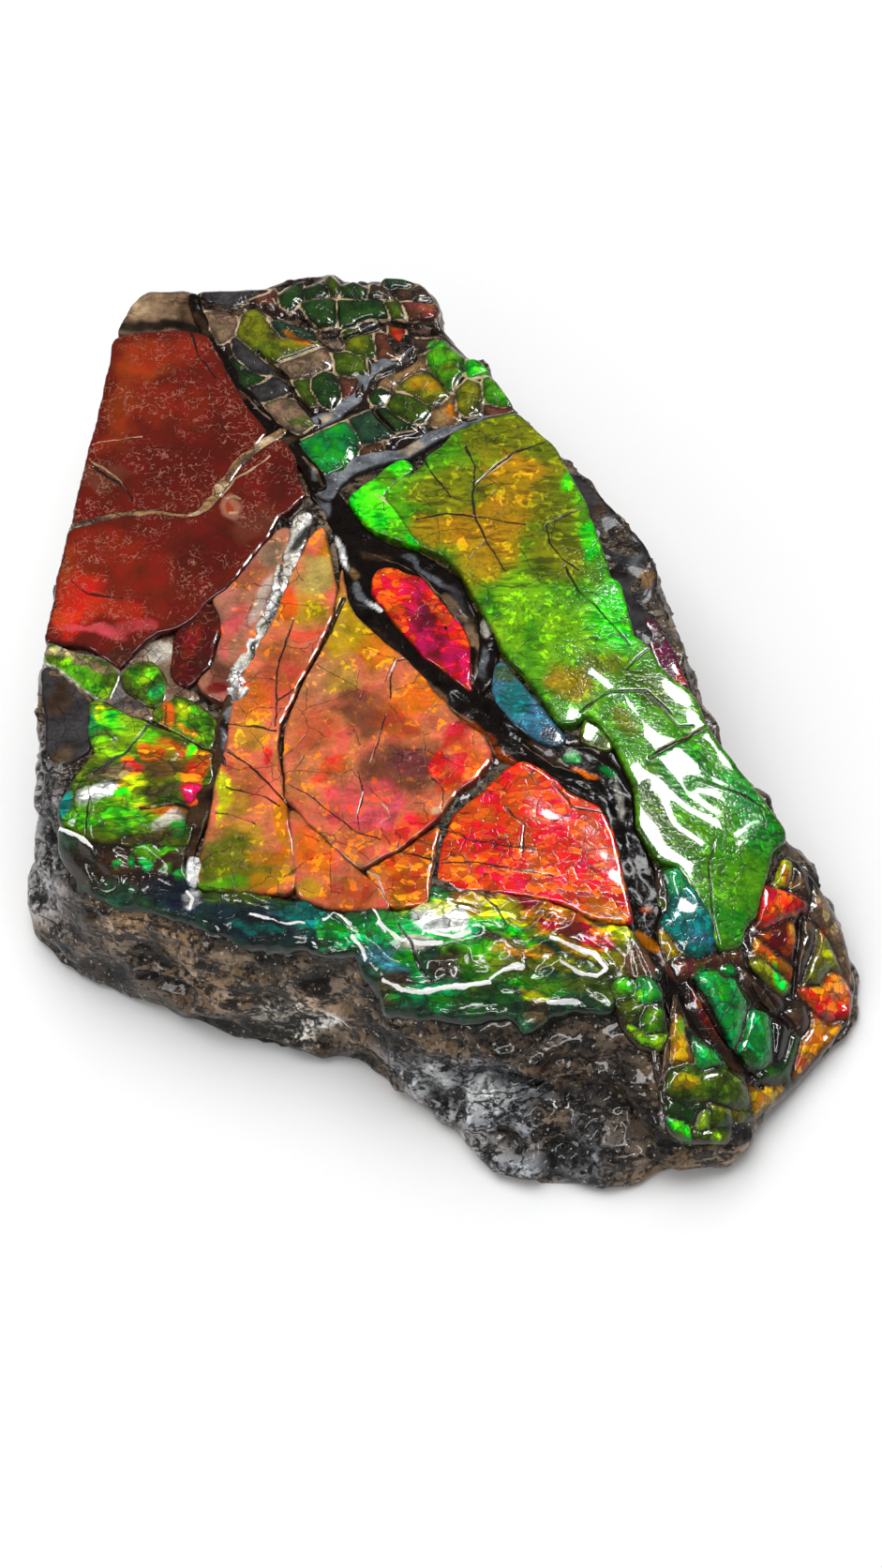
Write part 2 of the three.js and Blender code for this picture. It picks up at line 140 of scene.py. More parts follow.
@dataclass(frozen=True)
class Noise:
    """Smooth value noise from a hashed lattice, the same on every run."""

    seed: int = 7

    def _corner(self, i: Array, j: Array, k: Array) -> Array:
        """Value from -1 to 1 at whole lattice places.

        Args:
            i: Lattice column.
            j: Lattice row.
            k: Lattice layer.

        Returns:
            One value for each place.
        """
        mixed = (i * 374761393 + j * 668265263 + k * 1442695041 + self.seed * 974634777) & 0xFFFFFFFF
        mixed = ((mixed ^ (mixed >> 13)) * 1274126177) & 0xFFFFFFFF
        return ((mixed ^ (mixed >> 16)) & 0xFFFF) / 32767.5 - 1.0

    def at(self, x: Array, y: Array, z: Array | float = 0.0) -> Array:
        """Noise at places given in lattice units.

        Args:
            x: Places along X.
            y: Places along Y.
            z: Places along Z.

        Returns:
            Values from -1 to 1.
        """
        places = np.stack(np.broadcast_arrays(x, y, z)).astype(float)
        cell = np.floor(places).astype(np.int64)
        part = places - cell
        part = part * part * (3.0 - 2.0 * part)
        total = np.zeros(places.shape[1:])
        for di in (0, 1):
            for dj in (0, 1):
                for dk in (0, 1):
                    weight = np.ones(places.shape[1:])
                    for axis, step in enumerate((di, dj, dk)):
                        weight = weight * (part[axis] if step else 1.0 - part[axis])
                    total += weight * self._corner(cell[0] + di, cell[1] + dj, cell[2] + dk)
        return total

    def fractal(self, x: Array, y: Array, z: Array | float, size: float, octaves: int = 3) -> Array:
        """Several octaves of noise, each half the size and half the strength of the last.

        Args:
            x: Places along X, mm.
            y: Places along Y, mm.
            z: Places along Z, mm.
            size: Size of the largest lumps, mm.
            octaves: How many octaves.

        Returns:
            Values mostly from -1 to 1.
        """
        total = np.zeros(np.broadcast(x, y, z).shape)
        for octave in range(octaves):
            pitch = size / 2**octave
            turn = 0.6 * (octave + 1)
            across = x * math.cos(turn) + y * math.sin(turn)
            along = y * math.cos(turn) - x * math.sin(turn)
            total += self.at(across / pitch, along / pitch, z / pitch + 7.3 * octave) / 2**octave
        return total

    def bend(
        self, x: Array, y: Array, amount: float, size: float, layers: tuple[float, float]
    ) -> tuple[Array, Array]:
        """Places in plan pushed about by noise.

        Args:
            x: Places along X, mm.
            y: Places along Y, mm.
            amount: How far they are pushed, mm.
            size: Size of the largest lumps, mm.
            layers: Heights of the two cuts through the noise that push along X and along Y.

        Returns:
            The new x and y, mm.
        """
        push_x, push_y = (amount * self.fractal(x, y, layer, size) for layer in layers)
        return x + push_x, y + push_y


NOISE = Noise()


class Layer:
    """Heights at which the noise is cut in plan, so that no two uses repeat one another."""

    PAINT = (3.0, 11.0)
    BAND = 5.0
    RIM = 9.0
    EDGE = (21.0, 34.0)
    LINES = (41.0, 47.0)
    GROUND = 50.0
    LINE_WIDTHS = 53.0
    TILES = (61.0, 67.0)
    JOINTS = 77.0
    FILL = 81.0
    RIDGES = 85.0


def blend(under: Array | float, over: Array | float, share: Array) -> Array:
    """Goes from one value or colour to another.

    Args:
        under: What shows where the share is 0.
        over: What shows where the share is 1.
        share: How far the second covers the first.

    Returns:
        The mixture.
    """
    return under * (1.0 - share) + over * share


def smooth_step(low: float, high: float, value: Array) -> Array:
    """Smooth ramp from 0 at low to 1 at high.

    Args:
        low: Where the ramp begins.
        high: Where it ends, which may be below low.
        value: Values to be ramped.

    Returns:
        Values from 0 to 1.
    """
    share = np.clip((value - low) / (high - low), 0.0, 1.0)
    return share * share * (3.0 - 2.0 * share)


def inside(x: Array, y: Array, outline: Sequence[Point]) -> Array:
    """Whether each place lies within a polygon.

    Args:
        x: Places along X, mm.
        y: Places along Y, mm.
        outline: The polygon's corners, mm.

    Returns:
        True inside it.
    """
    within = np.zeros(np.shape(x), dtype=bool)
    for (x0, y0), (x1, y1) in zip(outline, (*outline[1:], outline[0])):
        rise = y1 - y0 if y1 != y0 else 1.0
        within ^= ((y0 > y) != (y1 > y)) & (x < x0 + (y - y0) * (x1 - x0) / rise)
    return within


def distance_to_line(x: Array, y: Array, points: Sequence[Point], closed: bool = False) -> Array:
    """Distance in plan from each place to a run of straight segments.

    Args:
        x: Places along X, mm.
        y: Places along Y, mm.
        points: Ends of the segments, in order.
        closed: Whether the last point joins the first.

    Returns:
        Distances in mm.
    """
    ends = list(points) + [points[0]] if closed else list(points)
    nearest = np.full(np.shape(x), np.inf)
    for (x0, y0), (x1, y1) in zip(ends, ends[1:]):
        dx, dy = x1 - x0, y1 - y0
        length = max(dx * dx + dy * dy, 1e-9)
        share = np.clip(((x - x0) * dx + (y - y0) * dy) / length, 0.0, 1.0)
        nearest = np.minimum(nearest, np.hypot(x - x0 - share * dx, y - y0 - share * dy))
    return nearest


@dataclass(frozen=True)
class ShellSurface:
    """The level that all plates share: flat at the back left, falling right, rolling over in front.

    Attributes:
        slab_height: Height of the flat part, mm.
        thin_end: Least height, at the low end, mm.
        fall_start: Where the fall begins, mm along fall_along.
        fall_length: Over what length it is measured, mm.
        fall_depth: How deep it goes over that length, mm.
        fall_power: How late it steepens.
        fall_along: Its direction in plan.
        roll_width: How far from the front edge the face rolls over, mm.
        roll_depth: How deep it rolls, mm.
        roll_past: How far the roll goes on past the edge, as a multiple of its width.
        roll_least: Share of the roll that is left where the slab is thin.
        roll_fade: Fall over which the roll fades, mm.
        front_edge: The shell's front edge, mm.
    """

    slab_height: float = 32.0
    thin_end: float = 4.0
    fall_start: float = 2.0
    fall_length: float = 74.0
    fall_depth: float = 27.0
    fall_power: float = 2.5
    fall_along: Point = (0.9, -0.43)
    roll_width: float = 20.0
    roll_depth: float = 7.0
    roll_past: float = 1.2
    roll_least: float = 0.35
    roll_fade: float = 30.0
    front_edge: tuple[Point, ...] = (
        (-64, -24), (-55, -35), (-40, -41), (-24, -47), (-12, -53), (-6, -57), (12, -59), (21, -57),
        (28, -62), (33, -71), (44, -74), (66, -58),
    )

    def front_at(self, x: Array) -> Array:
        """The y of the shell's front edge at each x.

        Args:
            x: Places along X, mm.

        Returns:
            The front edge's y, mm.
        """
        return np.interp(x, *zip(*self.front_edge))

    def level(self, x: Array, y: Array) -> Array:
        """Height of the common plate level.

        Args:
            x: Places along X, mm.
            y: Places along Y, mm.

        Returns:
            Heights above the table, mm.
        """
        along = np.maximum(self.fall_along[0] * x + self.fall_along[1] * y - self.fall_start, 0.0)
        fall = self.fall_depth * (along / self.fall_length) ** self.fall_power
        near_front = np.clip(1.0 - (y - self.front_at(x)) / self.roll_width, 0.0, self.roll_past)
        roll = self.roll_depth * near_front**2 * np.maximum(self.roll_least, 1.0 - fall / self.roll_fade)
        return np.maximum(self.slab_height - fall - roll, self.thin_end)


SURFACE = ShellSurface()

PAINT_WANDER = 1.1  # how far patches of colour are bent, mm
FRAYING = 0.32  # how far their edges fray, as a share of their size
EDGE_MIDDLE = 0.9  # where their soft edge lies, as a share of their size
EDGE_SOFTNESS = (0.08, 0.04, 0.35)  # half of that edge: at size 0, more for each mm, and at most


@dataclass(frozen=True)
class Flush:
    """A soft-edged patch of colour. Plates list theirs as plain rows of these fields, in this order.

    Attributes:
        x: Its middle along X, mm.
        y: Its middle along Y, mm.
        half_width: Half its size along X before it is turned, mm.
        half_length: Half its size along Y before it is turned, mm.
        hue: Its colour.
        turn: Degrees it is turned, anticlockwise.
        strength: How far it covers what is under it, from 0 to 1.
    """

    x: float
    y: float
    half_width: float
    half_length: float
    hue: Hue
    turn: float = 0.0
    strength: float = 0.8

    def cover(self, x: Array, y: Array) -> Array:
        """How far the patch covers each place.

        Args:
            x: Places along X, mm.
            y: Places along Y, mm.

        Returns:
            Shares from 0 to strength.
        """
        turn = math.radians(self.turn)
        dx, dy = x - self.x, y - self.y
        across = (dx * math.cos(turn) + dy * math.sin(turn)) / self.half_width
        along = (dy * math.cos(turn) - dx * math.sin(turn)) / self.half_length
        ragged = FRAYING * NOISE.fractal(x + self.x, y, self.y, 4.0, 5)
        least, growth, most = EDGE_SOFTNESS
        soft = min(least + growth * (self.half_width + self.half_length), most)
        away = np.hypot(across, along) + ragged
        return self.strength * smooth_step(EDGE_MIDDLE + soft, EDGE_MIDDLE - soft, away)


@dataclass(frozen=True)
class Crack:
    """A crack within a plate.

    Attributes:
        points: Its course, mm.
        width: Its full width, mm.
        depth: How deep it is cut, mm.
    """

    points: Sequence[Point]
    width: float = 0.22
    depth: float = 0.12


@dataclass(frozen=True)
class Vein:
    """A pale thread within a plate: a mineral thread, and on the folded band a painted highlight along a
    fold. Its course and its full width, mm.
    """

    points: Sequence[Point]
    width: float = 0.5


def paint(x: Array, y: Array, colour: Array, flushes: Sequence[Row]) -> Array:
    """Lays soft patches of colour over what is there.

    Args:
        x: Places along X, mm.
        y: Places along Y, mm.
        colour: One linear colour for each place.
        flushes: Rows of the patches' fields, first to last.

    Returns:
        The new colours.
    """
    bent = NOISE.bend(x, y, PAINT_WANDER, 4.0, Layer.PAINT)
    for flush in starmap(Flush, flushes):
        colour = blend(colour, flush.hue.linear, flush.cover(*bent)[:, None])
    return colour


# ---- Meshes ----


def select_only(piece: Piece) -> None:
    """Makes one object the only one selected, and the active one.

    Args:
        piece: The object.
    """
    bpy.ops.object.select_all(action="DESELECT")
    piece.select_set(True)
    bpy.context.view_layer.objects.active = piece


def apply_modifier(piece: Piece, kind: str, **settings: object) -> None:
    """Adds a modifier and applies it at once.

    Args:
        piece: The object.
        kind: Blender's name for the modifier.
        settings: Its properties.
    """
    select_only(piece)
    modifier = piece.modifiers.new(kind.title(), kind)
    for name, value in settings.items():
        setattr(modifier, name, value)
    bpy.ops.object.modifier_apply(modifier=modifier.name)


def remesh(piece: Piece, voxel: float, soften: bool = True) -> None:
    """Meshes a piece anew.

    Args:
        piece: The object.
        voxel: Size of the new mesh, mm.
        soften: Whether the voxels' steps are smoothed.
    """
    apply_modifier(piece, "REMESH", mode="VOXEL", voxel_size=voxel * MM)
    if soften:
        apply_modifier(piece, "SMOOTH", factor=0.5, iterations=1)


def rows_of(elements: bpy.types.bpy_prop_collection, name: str) -> Array:
    """Reads one vector property of all vertices or faces.

    Args:
        elements: A mesh's vertices or polygons.
        name: The property: co, normal or center.

    Returns:
        Rows of x, y and z, in Blender's own units.
    """
    flat = np.empty(len(elements) * 3)
    elements.foreach_get(name, flat)
    return flat.reshape(-1, 3)


def place(piece: Piece, places: Array) -> None:
    """Moves the vertices.

    Args:
        piece: A mesh object.
        places: Rows of x, y and z in mm.
    """
    piece.data.vertices.foreach_set("co", (places * MM).ravel())
    piece.data.update()


def store(piece: Piece, name: str, values: Array) -> None:
    """Stores one number or one linear colour for each vertex.

    Args:
        piece: A mesh object.
        name: The attribute's name.
        values: Numbers, or rows of red, green and blue.
    """
    if values.ndim == 1:
        attribute = piece.data.attributes.new(name, "FLOAT", "POINT")
        attribute.data.foreach_set("value", values)
        return
    attribute = piece.data.attributes.new(name, "FLOAT_COLOR", "POINT")
    rows = np.concatenate([np.clip(values, 0.0, 1.0), np.ones((len(values), 1))], axis=1)
    attribute.data.foreach_set("color", rows.ravel())


def hand_in(piece: Piece, material: Material) -> None:
    """Gives a finished piece its material and its body, and reports it.

    Args:
        piece: A mesh object.
        material: Its finish.
    """
    piece.data.materials.clear()
    piece.data.materials.append(material)
    select_only(piece)
    bpy.ops.object.shade_smooth()
    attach(piece, BODY)
    LOG.info("%s: %d faces", piece.name, len(piece.data.polygons))


EDGE_STEP = 0.6  # spacing of the points of a plate's broken edge, mm


def broken_outline(outline: Sequence[Point], grow: float, rough: float) -> list[Point]:
    """Turns a plain polygon into the edge of a broken plate.

    Args:
        outline: Corners, mm.
        grow: How far the edge is moved outward, mm.
        rough: How far the edge wanders, mm.

    Returns:
        Closely spaced points that wander about the straight sides.
    """
    points: list[Point] = []
    for (x0, y0), (x1, y1) in zip(outline, list(outline[1:]) + [outline[0]]):
        count = max(int(math.hypot(x1 - x0, y1 - y0) / EDGE_STEP), 1)
        for share in (i / count for i in range(count)):
            points.append((x0 + (x1 - x0) * share, y0 + (y1 - y0) * share))
    places = np.array(points)
    ahead = np.roll(places, -1, axis=0) - np.roll(places, 1, axis=0)
    ahead = ahead / np.maximum(np.linalg.norm(ahead, axis=1, keepdims=True), 1e-6)
    turning = np.sum(places[:, 0] * np.roll(places[:, 1], -1) - places[:, 1] * np.roll(places[:, 0], -1))
    places = places + np.sign(turning) * grow * np.stack([ahead[:, 1], -ahead[:, 0]], axis=1)
    places = (np.roll(places, 1, axis=0) + 2.0 * places + np.roll(places, -1, axis=0)) / 4.0
    return list(zip(*NOISE.bend(*places.T, rough, 3.0, Layer.EDGE)))


ROUND_OFF = 0.6  # radius of the varnished edge, mm
ROUND_SHARE = 0.8  # how much of a full quarter circle it is
RIM_FADE = 0.3  # how softly the rim's colour ends, mm
FINE_REACH = 0.55  # how near to a line the mesh is finer, mm
FINE_ABOVE = 0.6  # above what share of the thickness it is finer
LEAST_GROOVE = 0.16  # least half-width of a cut groove, mm
LINE_WANDER = 0.22  # how far lines wander, mm
FAR = 9.0  # where the distance from a line stops, mm


@dataclass
class Plate:
    """One plate, chip or seam of the upper face.

    Attributes:
        name: The piece's name.
        marks: What kind of marking it shows.
        base: Its main colour.
        outline: Its edge in plan, mm.
        lift: How far it stands above the common level, mm.
        tilt: Its lean, as rise per mm along x and y.
        grow: How far its edge stands outside the outline, mm.
        thickness: How deep it is modelled, mm.
        ragged: How far its edge wanders, mm.
        relief: Height of its gentle undulations, mm.
        relief_size: Their size, mm.
        rim: Colour of its edge.
        rim_width: How far in that colour reaches, mm.
        flushes: Patches of colour, as rows of a Flush's fields.
        cracks: Cracks within it.
        veins: Pale threads within it.
        crests: Long smooth swells, whose depth is their height, mm.
        voxel: Size of its mesh, mm.
    """

    name: str
    marks: Marks
    base: Hue
    outline: Sequence[Point]
    lift: float = 0.0
    tilt: Point = (0.0, 0.0)
    grow: float = 0.5
    thickness: float = 2.4
    ragged: float = 0.2
    relief: float = 0.12
    relief_size: float = 7.0
    rim: Hue = Hue.UMBER
    rim_width: float = 0.3
    flushes: Sequence[Row] = ()
    cracks: Sequence[Crack] = ()
    veins: Sequence[Vein] = ()
    crests: Sequence[Crack] = ()
    voxel: float = 0.34

    def _slab(self, outline: Sequence[Point]) -> Piece:
        """A flat slab, remeshed finely, with its underside at z = 0.

        Args:
            outline: Its edge, mm.

        Returns:
            The slab.
        """
        bpy.ops.object.select_all(action="DESELECT")
        bpy.ops.mesh.primitive_circle_add(vertices=len(outline), radius=0.01, fill_type="NGON")
        piece = bpy.context.object
        piece.name = self.name
        piece.data.name = self.name
        for vertex, (x, y) in zip(piece.data.vertices, outline):
            vertex.co = Vector((x, y, 0.0)) * MM
        bpy.ops.object.mode_set(mode="EDIT")
        bpy.ops.mesh.select_all(action="SELECT")
        rise = {"value": (0.0, 0.0, self.thickness * MM)}
        bpy.ops.mesh.extrude_region_move(TRANSFORM_OT_translate=rise)
        bpy.ops.mesh.select_all(action="SELECT")
        bpy.ops.mesh.normals_make_consistent(inside=False)
        bpy.ops.object.mode_set(mode="OBJECT")
        remesh(piece, self.voxel)
        return piece

    def _refine(self, piece: Piece) -> None:
        """Makes the mesh finer along cracks and threads, so that they come out thin.

        Args:
            piece: The slab.
        """
        lines = [line.points for line in (*self.cracks, *self.veins)]
        if not lines:
            return
        x, y, z = rows_of(piece.data.polygons, "center").T / MM
        near = np.min([distance_to_line(x, y, points) for points in lines], axis=0) < FINE_REACH
        select_only(piece)
        bpy.ops.object.mode_set(mode="EDIT")
        bpy.ops.mesh.select_mode(type="FACE")
        bpy.ops.mesh.select_all(action="DESELECT")
        bpy.ops.object.mode_set(mode="OBJECT")
        piece.data.polygons.foreach_set("select", near & (z > FINE_ABOVE * self.thickness))
        bpy.ops.object.mode_set(mode="EDIT")
        bpy.ops.mesh.subdivide(number_cuts=2)
        bpy.ops.object.mode_set(mode="OBJECT")

    def _top(self, x: Array, y: Array) -> Array:
        """Height of the plate's face.

        Args:
            x: Places along X, mm.
            y: Places along Y, mm.

        Returns:
            Heights above the table, mm.
        """
        centre = np.mean(np.array(self.outline), axis=0)
        lean = self.tilt[0] * (x - centre[0]) + self.tilt[1] * (y - centre[1])
        # The swell comes from a layer of its own, set by how long the name is.
        swell = self.relief * NOISE.fractal(x, y, 5.0 * len(self.name), self.relief_size, 2)
        height = SURFACE.level(x, y) + self.lift + lean + swell
        for crack in self.cracks:
            away = distance_to_line(x, y, crack.points) / max(0.6 * crack.width, LEAST_GROOVE)
            height = height - crack.depth * np.exp(-(away**2))
        for crest in self.crests:
            away = distance_to_line(x, y, crest.points) / (0.5 * crest.width)
            height = height + crest.depth * np.exp(-(away**2))
        return height

    def _line_field(self, x: Array, y: Array, lines: Sequence[Crack | Vein]) -> Array:
        """Distance to the nearest of some lines' edges.

        Args:
            x: Places along X, mm.
            y: Places along Y, mm.
            lines: The lines, whose widths swell and shrink along them.

        Returns:
            Distances in mm, negative inside a line, at most FAR.
        """
        nearest = np.full(len(x), FAR)
        bent = NOISE.bend(x, y, LINE_WANDER, 2.5, Layer.LINES)
        swell = 0.5 + 0.45 * NOISE.fractal(x, y, Layer.LINE_WIDTHS, 3.0)
        for line in lines:
            nearest = np.minimum(nearest, distance_to_line(*bent, line.points) - swell * line.width)
        return nearest

    def _colour(self, x: Array, y: Array) -> Array:
        """The face's linear colours at places in mm."""
        return paint(x, y, np.tile(self.base.linear, (len(x), 1)), self.flushes)

    def _veins(self, x: Array, y: Array) -> Array:
        """Distance from pale threads in mm, negative inside them."""
        return self._line_field(x, y, self.veins)

    def build(self, finishes: dict[Marks, Material]) -> None:
        """Models and dresses the plate.

        Args:
            finishes: The material for each kind of marking.
        """
        outline = broken_outline(self.outline, self.grow, self.ragged)
        piece = self._slab(outline)
        self._refine(piece)
        places = rows_of(piece.data.vertices, "co") / MM
        x, y, z = places.T
        edge = distance_to_line(x, y, outline, closed=True)
        short = np.clip(1.0 - edge / ROUND_OFF, 0.0, 1.0)
        rounding = ROUND_OFF * (1.0 - np.sqrt(1.0 - short**2)) * ROUND_SHARE
        upper = smooth_step(0.2 * self.thickness, self.thickness, z)
        places[:, 2] = self._top(x, y) + z - self.thickness - rounding * upper
        place(piece, places)
        colour = self._colour(x, y)
        ragged = edge + 0.25 * NOISE.fractal(x, y, Layer.RIM, 1.6)
        rim = smooth_step(self.rim_width + RIM_FADE, self.rim_width - RIM_FADE, ragged)
        rim = np.maximum(rim, smooth_step(0.75 * self.thickness, 0.45 * self.thickness, z))[:, None]
        edging = 0.2 * colour + 0.5 * self.rim.linear
        store(piece, "tint", blend(colour, edging, rim))
        store(piece, "crack_mm", self._line_field(x, y, self.cracks))
        store(piece, "vein_mm", self._veins(x, y))
        hand_in(piece, finishes[self.marks])


@dataclass(frozen=True)
class Tile:
    """One tile of a mosaic: its corners in mm, its colour, and how far it stands up in mm."""

    outline: Sequence[Point]
    hue: Hue
    lift: float = 0.0


TILE_WANDER = 0.15  # how far tiles' edges wander, mm
TILE_SPREAD = 0.6  # how far tiles reach past their outlines, mm
# Painted shade: each tile is darkened toward its edge, where its dome falls into the joint.
PAINTED_SHADE_REACH = 1.0  # how far in from its edge each tile is darker, mm
PAINTED_EDGE_SHADE = 0.35  # how bright it is at its edge
DEEPEST = -99.0  # a depth that no place has, mm


@dataclass
class Mosaic(Plate):
    """A plate broken into small tiles, with mineral in the joints.

    Attributes:
        tiles: The tiles.
        joint: Full width of the joints, mm.
        dome: How far each tile bulges, mm.
    """

    tiles: Sequence[Tile] = ()
    joint: float = 0.3
    dome: float = 0.35

    def _cells(self, x: Array, y: Array) -> tuple[Array, Array]:
        """Finds the tile at each place.

        Args:
            x: Places along X, mm.
            y: Places along Y, mm.

        Returns:
            The tile's number, and how deep within it the place is in mm, negative in a joint.
        """
        bent = NOISE.bend(x, y, TILE_WANDER, 2.0, Layer.TILES)
        best = second = np.full(len(x), DEEPEST)
        number = np.zeros(len(x), dtype=int)
        for index, tile in enumerate(self.tiles):
            away = distance_to_line(*bent, tile.outline, closed=True)
            depth = np.where(inside(*bent, tile.outline), away, -away)
            second = np.maximum(second, np.minimum(best, depth))
            number = np.where(depth > best, index, number)
            best = np.maximum(best, depth)
        return number, np.minimum(best + TILE_SPREAD, (best - second) / 2.0) - 0.5 * self.joint

    def _top(self, x: Array, y: Array) -> Array:
        """Height of the tiled face.

        Args:
            x: Places along X, mm.
            y: Places along Y, mm.

        Returns:
            Heights above the table, mm.
        """
        number, depth = self._cells(x, y)
        lifts = np.array([tile.lift for tile in self.tiles])[number]
        bulge = smooth_step(-0.2, 1.6, depth)
        ground = 0.7 * smooth_step(-self.joint, -self.joint - 1.2, depth)
        return super()._top(x, y) - ground + self.dome * bulge + lifts * smooth_step(-0.3, 0.5, depth)

    def _colour(self, x: Array, y: Array) -> Array:
        """The tiles' and joints' linear colours, with painted shade along each tile's edge.

        Args:
            x: Places along X, mm.
            y: Places along Y, mm.

        Returns:
            One colour for each place.
        """
        number, depth = self._cells(x, y)
        hues = np.array([tile.hue.linear for tile in self.tiles])[number]
        colour = np.where((depth > -self.joint)[:, None], hues, self.base.linear)
        # Painted shade along each tile's edge.
        shade = PAINTED_EDGE_SHADE + (1.0 - PAINTED_EDGE_SHADE) * smooth_step(0.0, PAINTED_SHADE_REACH, depth)
        return paint(x, y, colour, self.flushes) * shade[:, None]

    def _veins(self, x: Array, y: Array) -> Array:
        """Distance from the joints and threads in mm, negative inside them."""
        depth = self._cells(x, y)[1] + 0.12 * NOISE.fractal(x, y, Layer.JOINTS, 2.5)
        return np.minimum(super()._veins(x, y), np.abs(depth + 0.5 * self.joint) - 0.5 * self.joint)


@dataclass
class FoldBand(Plate):
    """The wrinkled strip along the front edge, whose folds run with the edge.

    Attributes:
        fold_height: Height of the crumpling, mm.
    """

    fold_height: float = 0.5

    def _top(self, x: Array, y: Array) -> Array:
        """Height of the folded face.

        Args:
            x: Places along X, mm.
            y: Places along Y, mm.

        Returns:
            Heights above the table, mm.
        """
        across = y - SURFACE.front_at(x) + 1.4 * NOISE.fractal(x, y, Layer.BAND, 8.0)
        coarse = 1.0 - 2.4 * np.abs(NOISE.at(x / 6.0, across / 2.6, 3.0))
        fine = 1.0 - 2.4 * np.abs(NOISE.at(x / 2.6, across / 1.2, 7.0))
        away = [distance_to_line(x, y, crest.points) / crest.width for crest in self.crests]
        crumple = smooth_step(0.25, 0.8, np.min(away, axis=0))
        return super()._top(x, y) + self.fold_height * (coarse + 0.4 * fine - 0.4) * crumple


@dataclass
class CrackFill(Plate):
    """The dark matter that fills the long crack, in ridges that run along it.

    Attributes:
        course: The crack's middle, mm.
        ridge: Height of the ridges, mm.
    """

    course: Sequence[Point] = ()
    ridge: float = 0.2

    def _top(self, x: Array, y: Array) -> Array:
        """Height of the ridged face.

        Args:
            x: Places along X, mm.
            y: Places along Y, mm.

        Returns:
            Heights above the table, mm.
        """
        away = distance_to_line(x, y, self.course) + 0.8 * NOISE.fractal(x, y, Layer.FILL, 5.0)
        strength = 0.6 + 0.6 * NOISE.fractal(x, y, Layer.RIDGES, 6.0)
        ridges = np.abs(np.sin(away * 1.1)) ** 0.7 * strength
        return super()._top(x, y) + self.ridge * (ridges - 0.5) + 0.25 * smooth_step(1.0, 3.5, away)


SEAM_VOXEL = 0.3  # size of a seam's mesh, mm


def seam(name: str, marks: Marks, base: Hue, course: Sequence[Row], **looks: object) -> Plate:
    """A mineral-filled seam: a plate in the shape of a strip along a line.

    Args:
        name: The piece's name.
        marks: What kind of marking it shows.
        base: Its main colour.
        course: Rows of x, y and width along the strip, mm.
        looks: The plate's other settings.

    Returns:
        The plate.
    """
    rows = np.array(course, dtype=float)
    line, widths = rows[:, :2], rows[:, 2:]
    ahead = np.gradient(line, axis=0)
    ahead = ahead / np.linalg.norm(ahead, axis=1, keepdims=True)
    aside = np.stack([-ahead[:, 1], ahead[:, 0]], axis=1) * (widths / 2.0)
    corners = np.concatenate([line + aside, (line - aside)[::-1]])
    return Plate(name, marks, base, [tuple(corner) for corner in corners], voxel=SEAM_VOXEL, **looks)


# ---- The stone ----

GROUND_BRIGHTNESS = 1.35  # of the bare stone, for its hue
STAIN_WANDER = 2.5  # how far stains are bent, mm


@dataclass(frozen=True)
class Stain:
    """A soft patch of colour in the stone: its middle and reach in mm, its colour and strength."""

    centre: tuple[float, float, float]
    reach: tuple[float, float, float]
    hue: Hue
    strength: float = 0.9


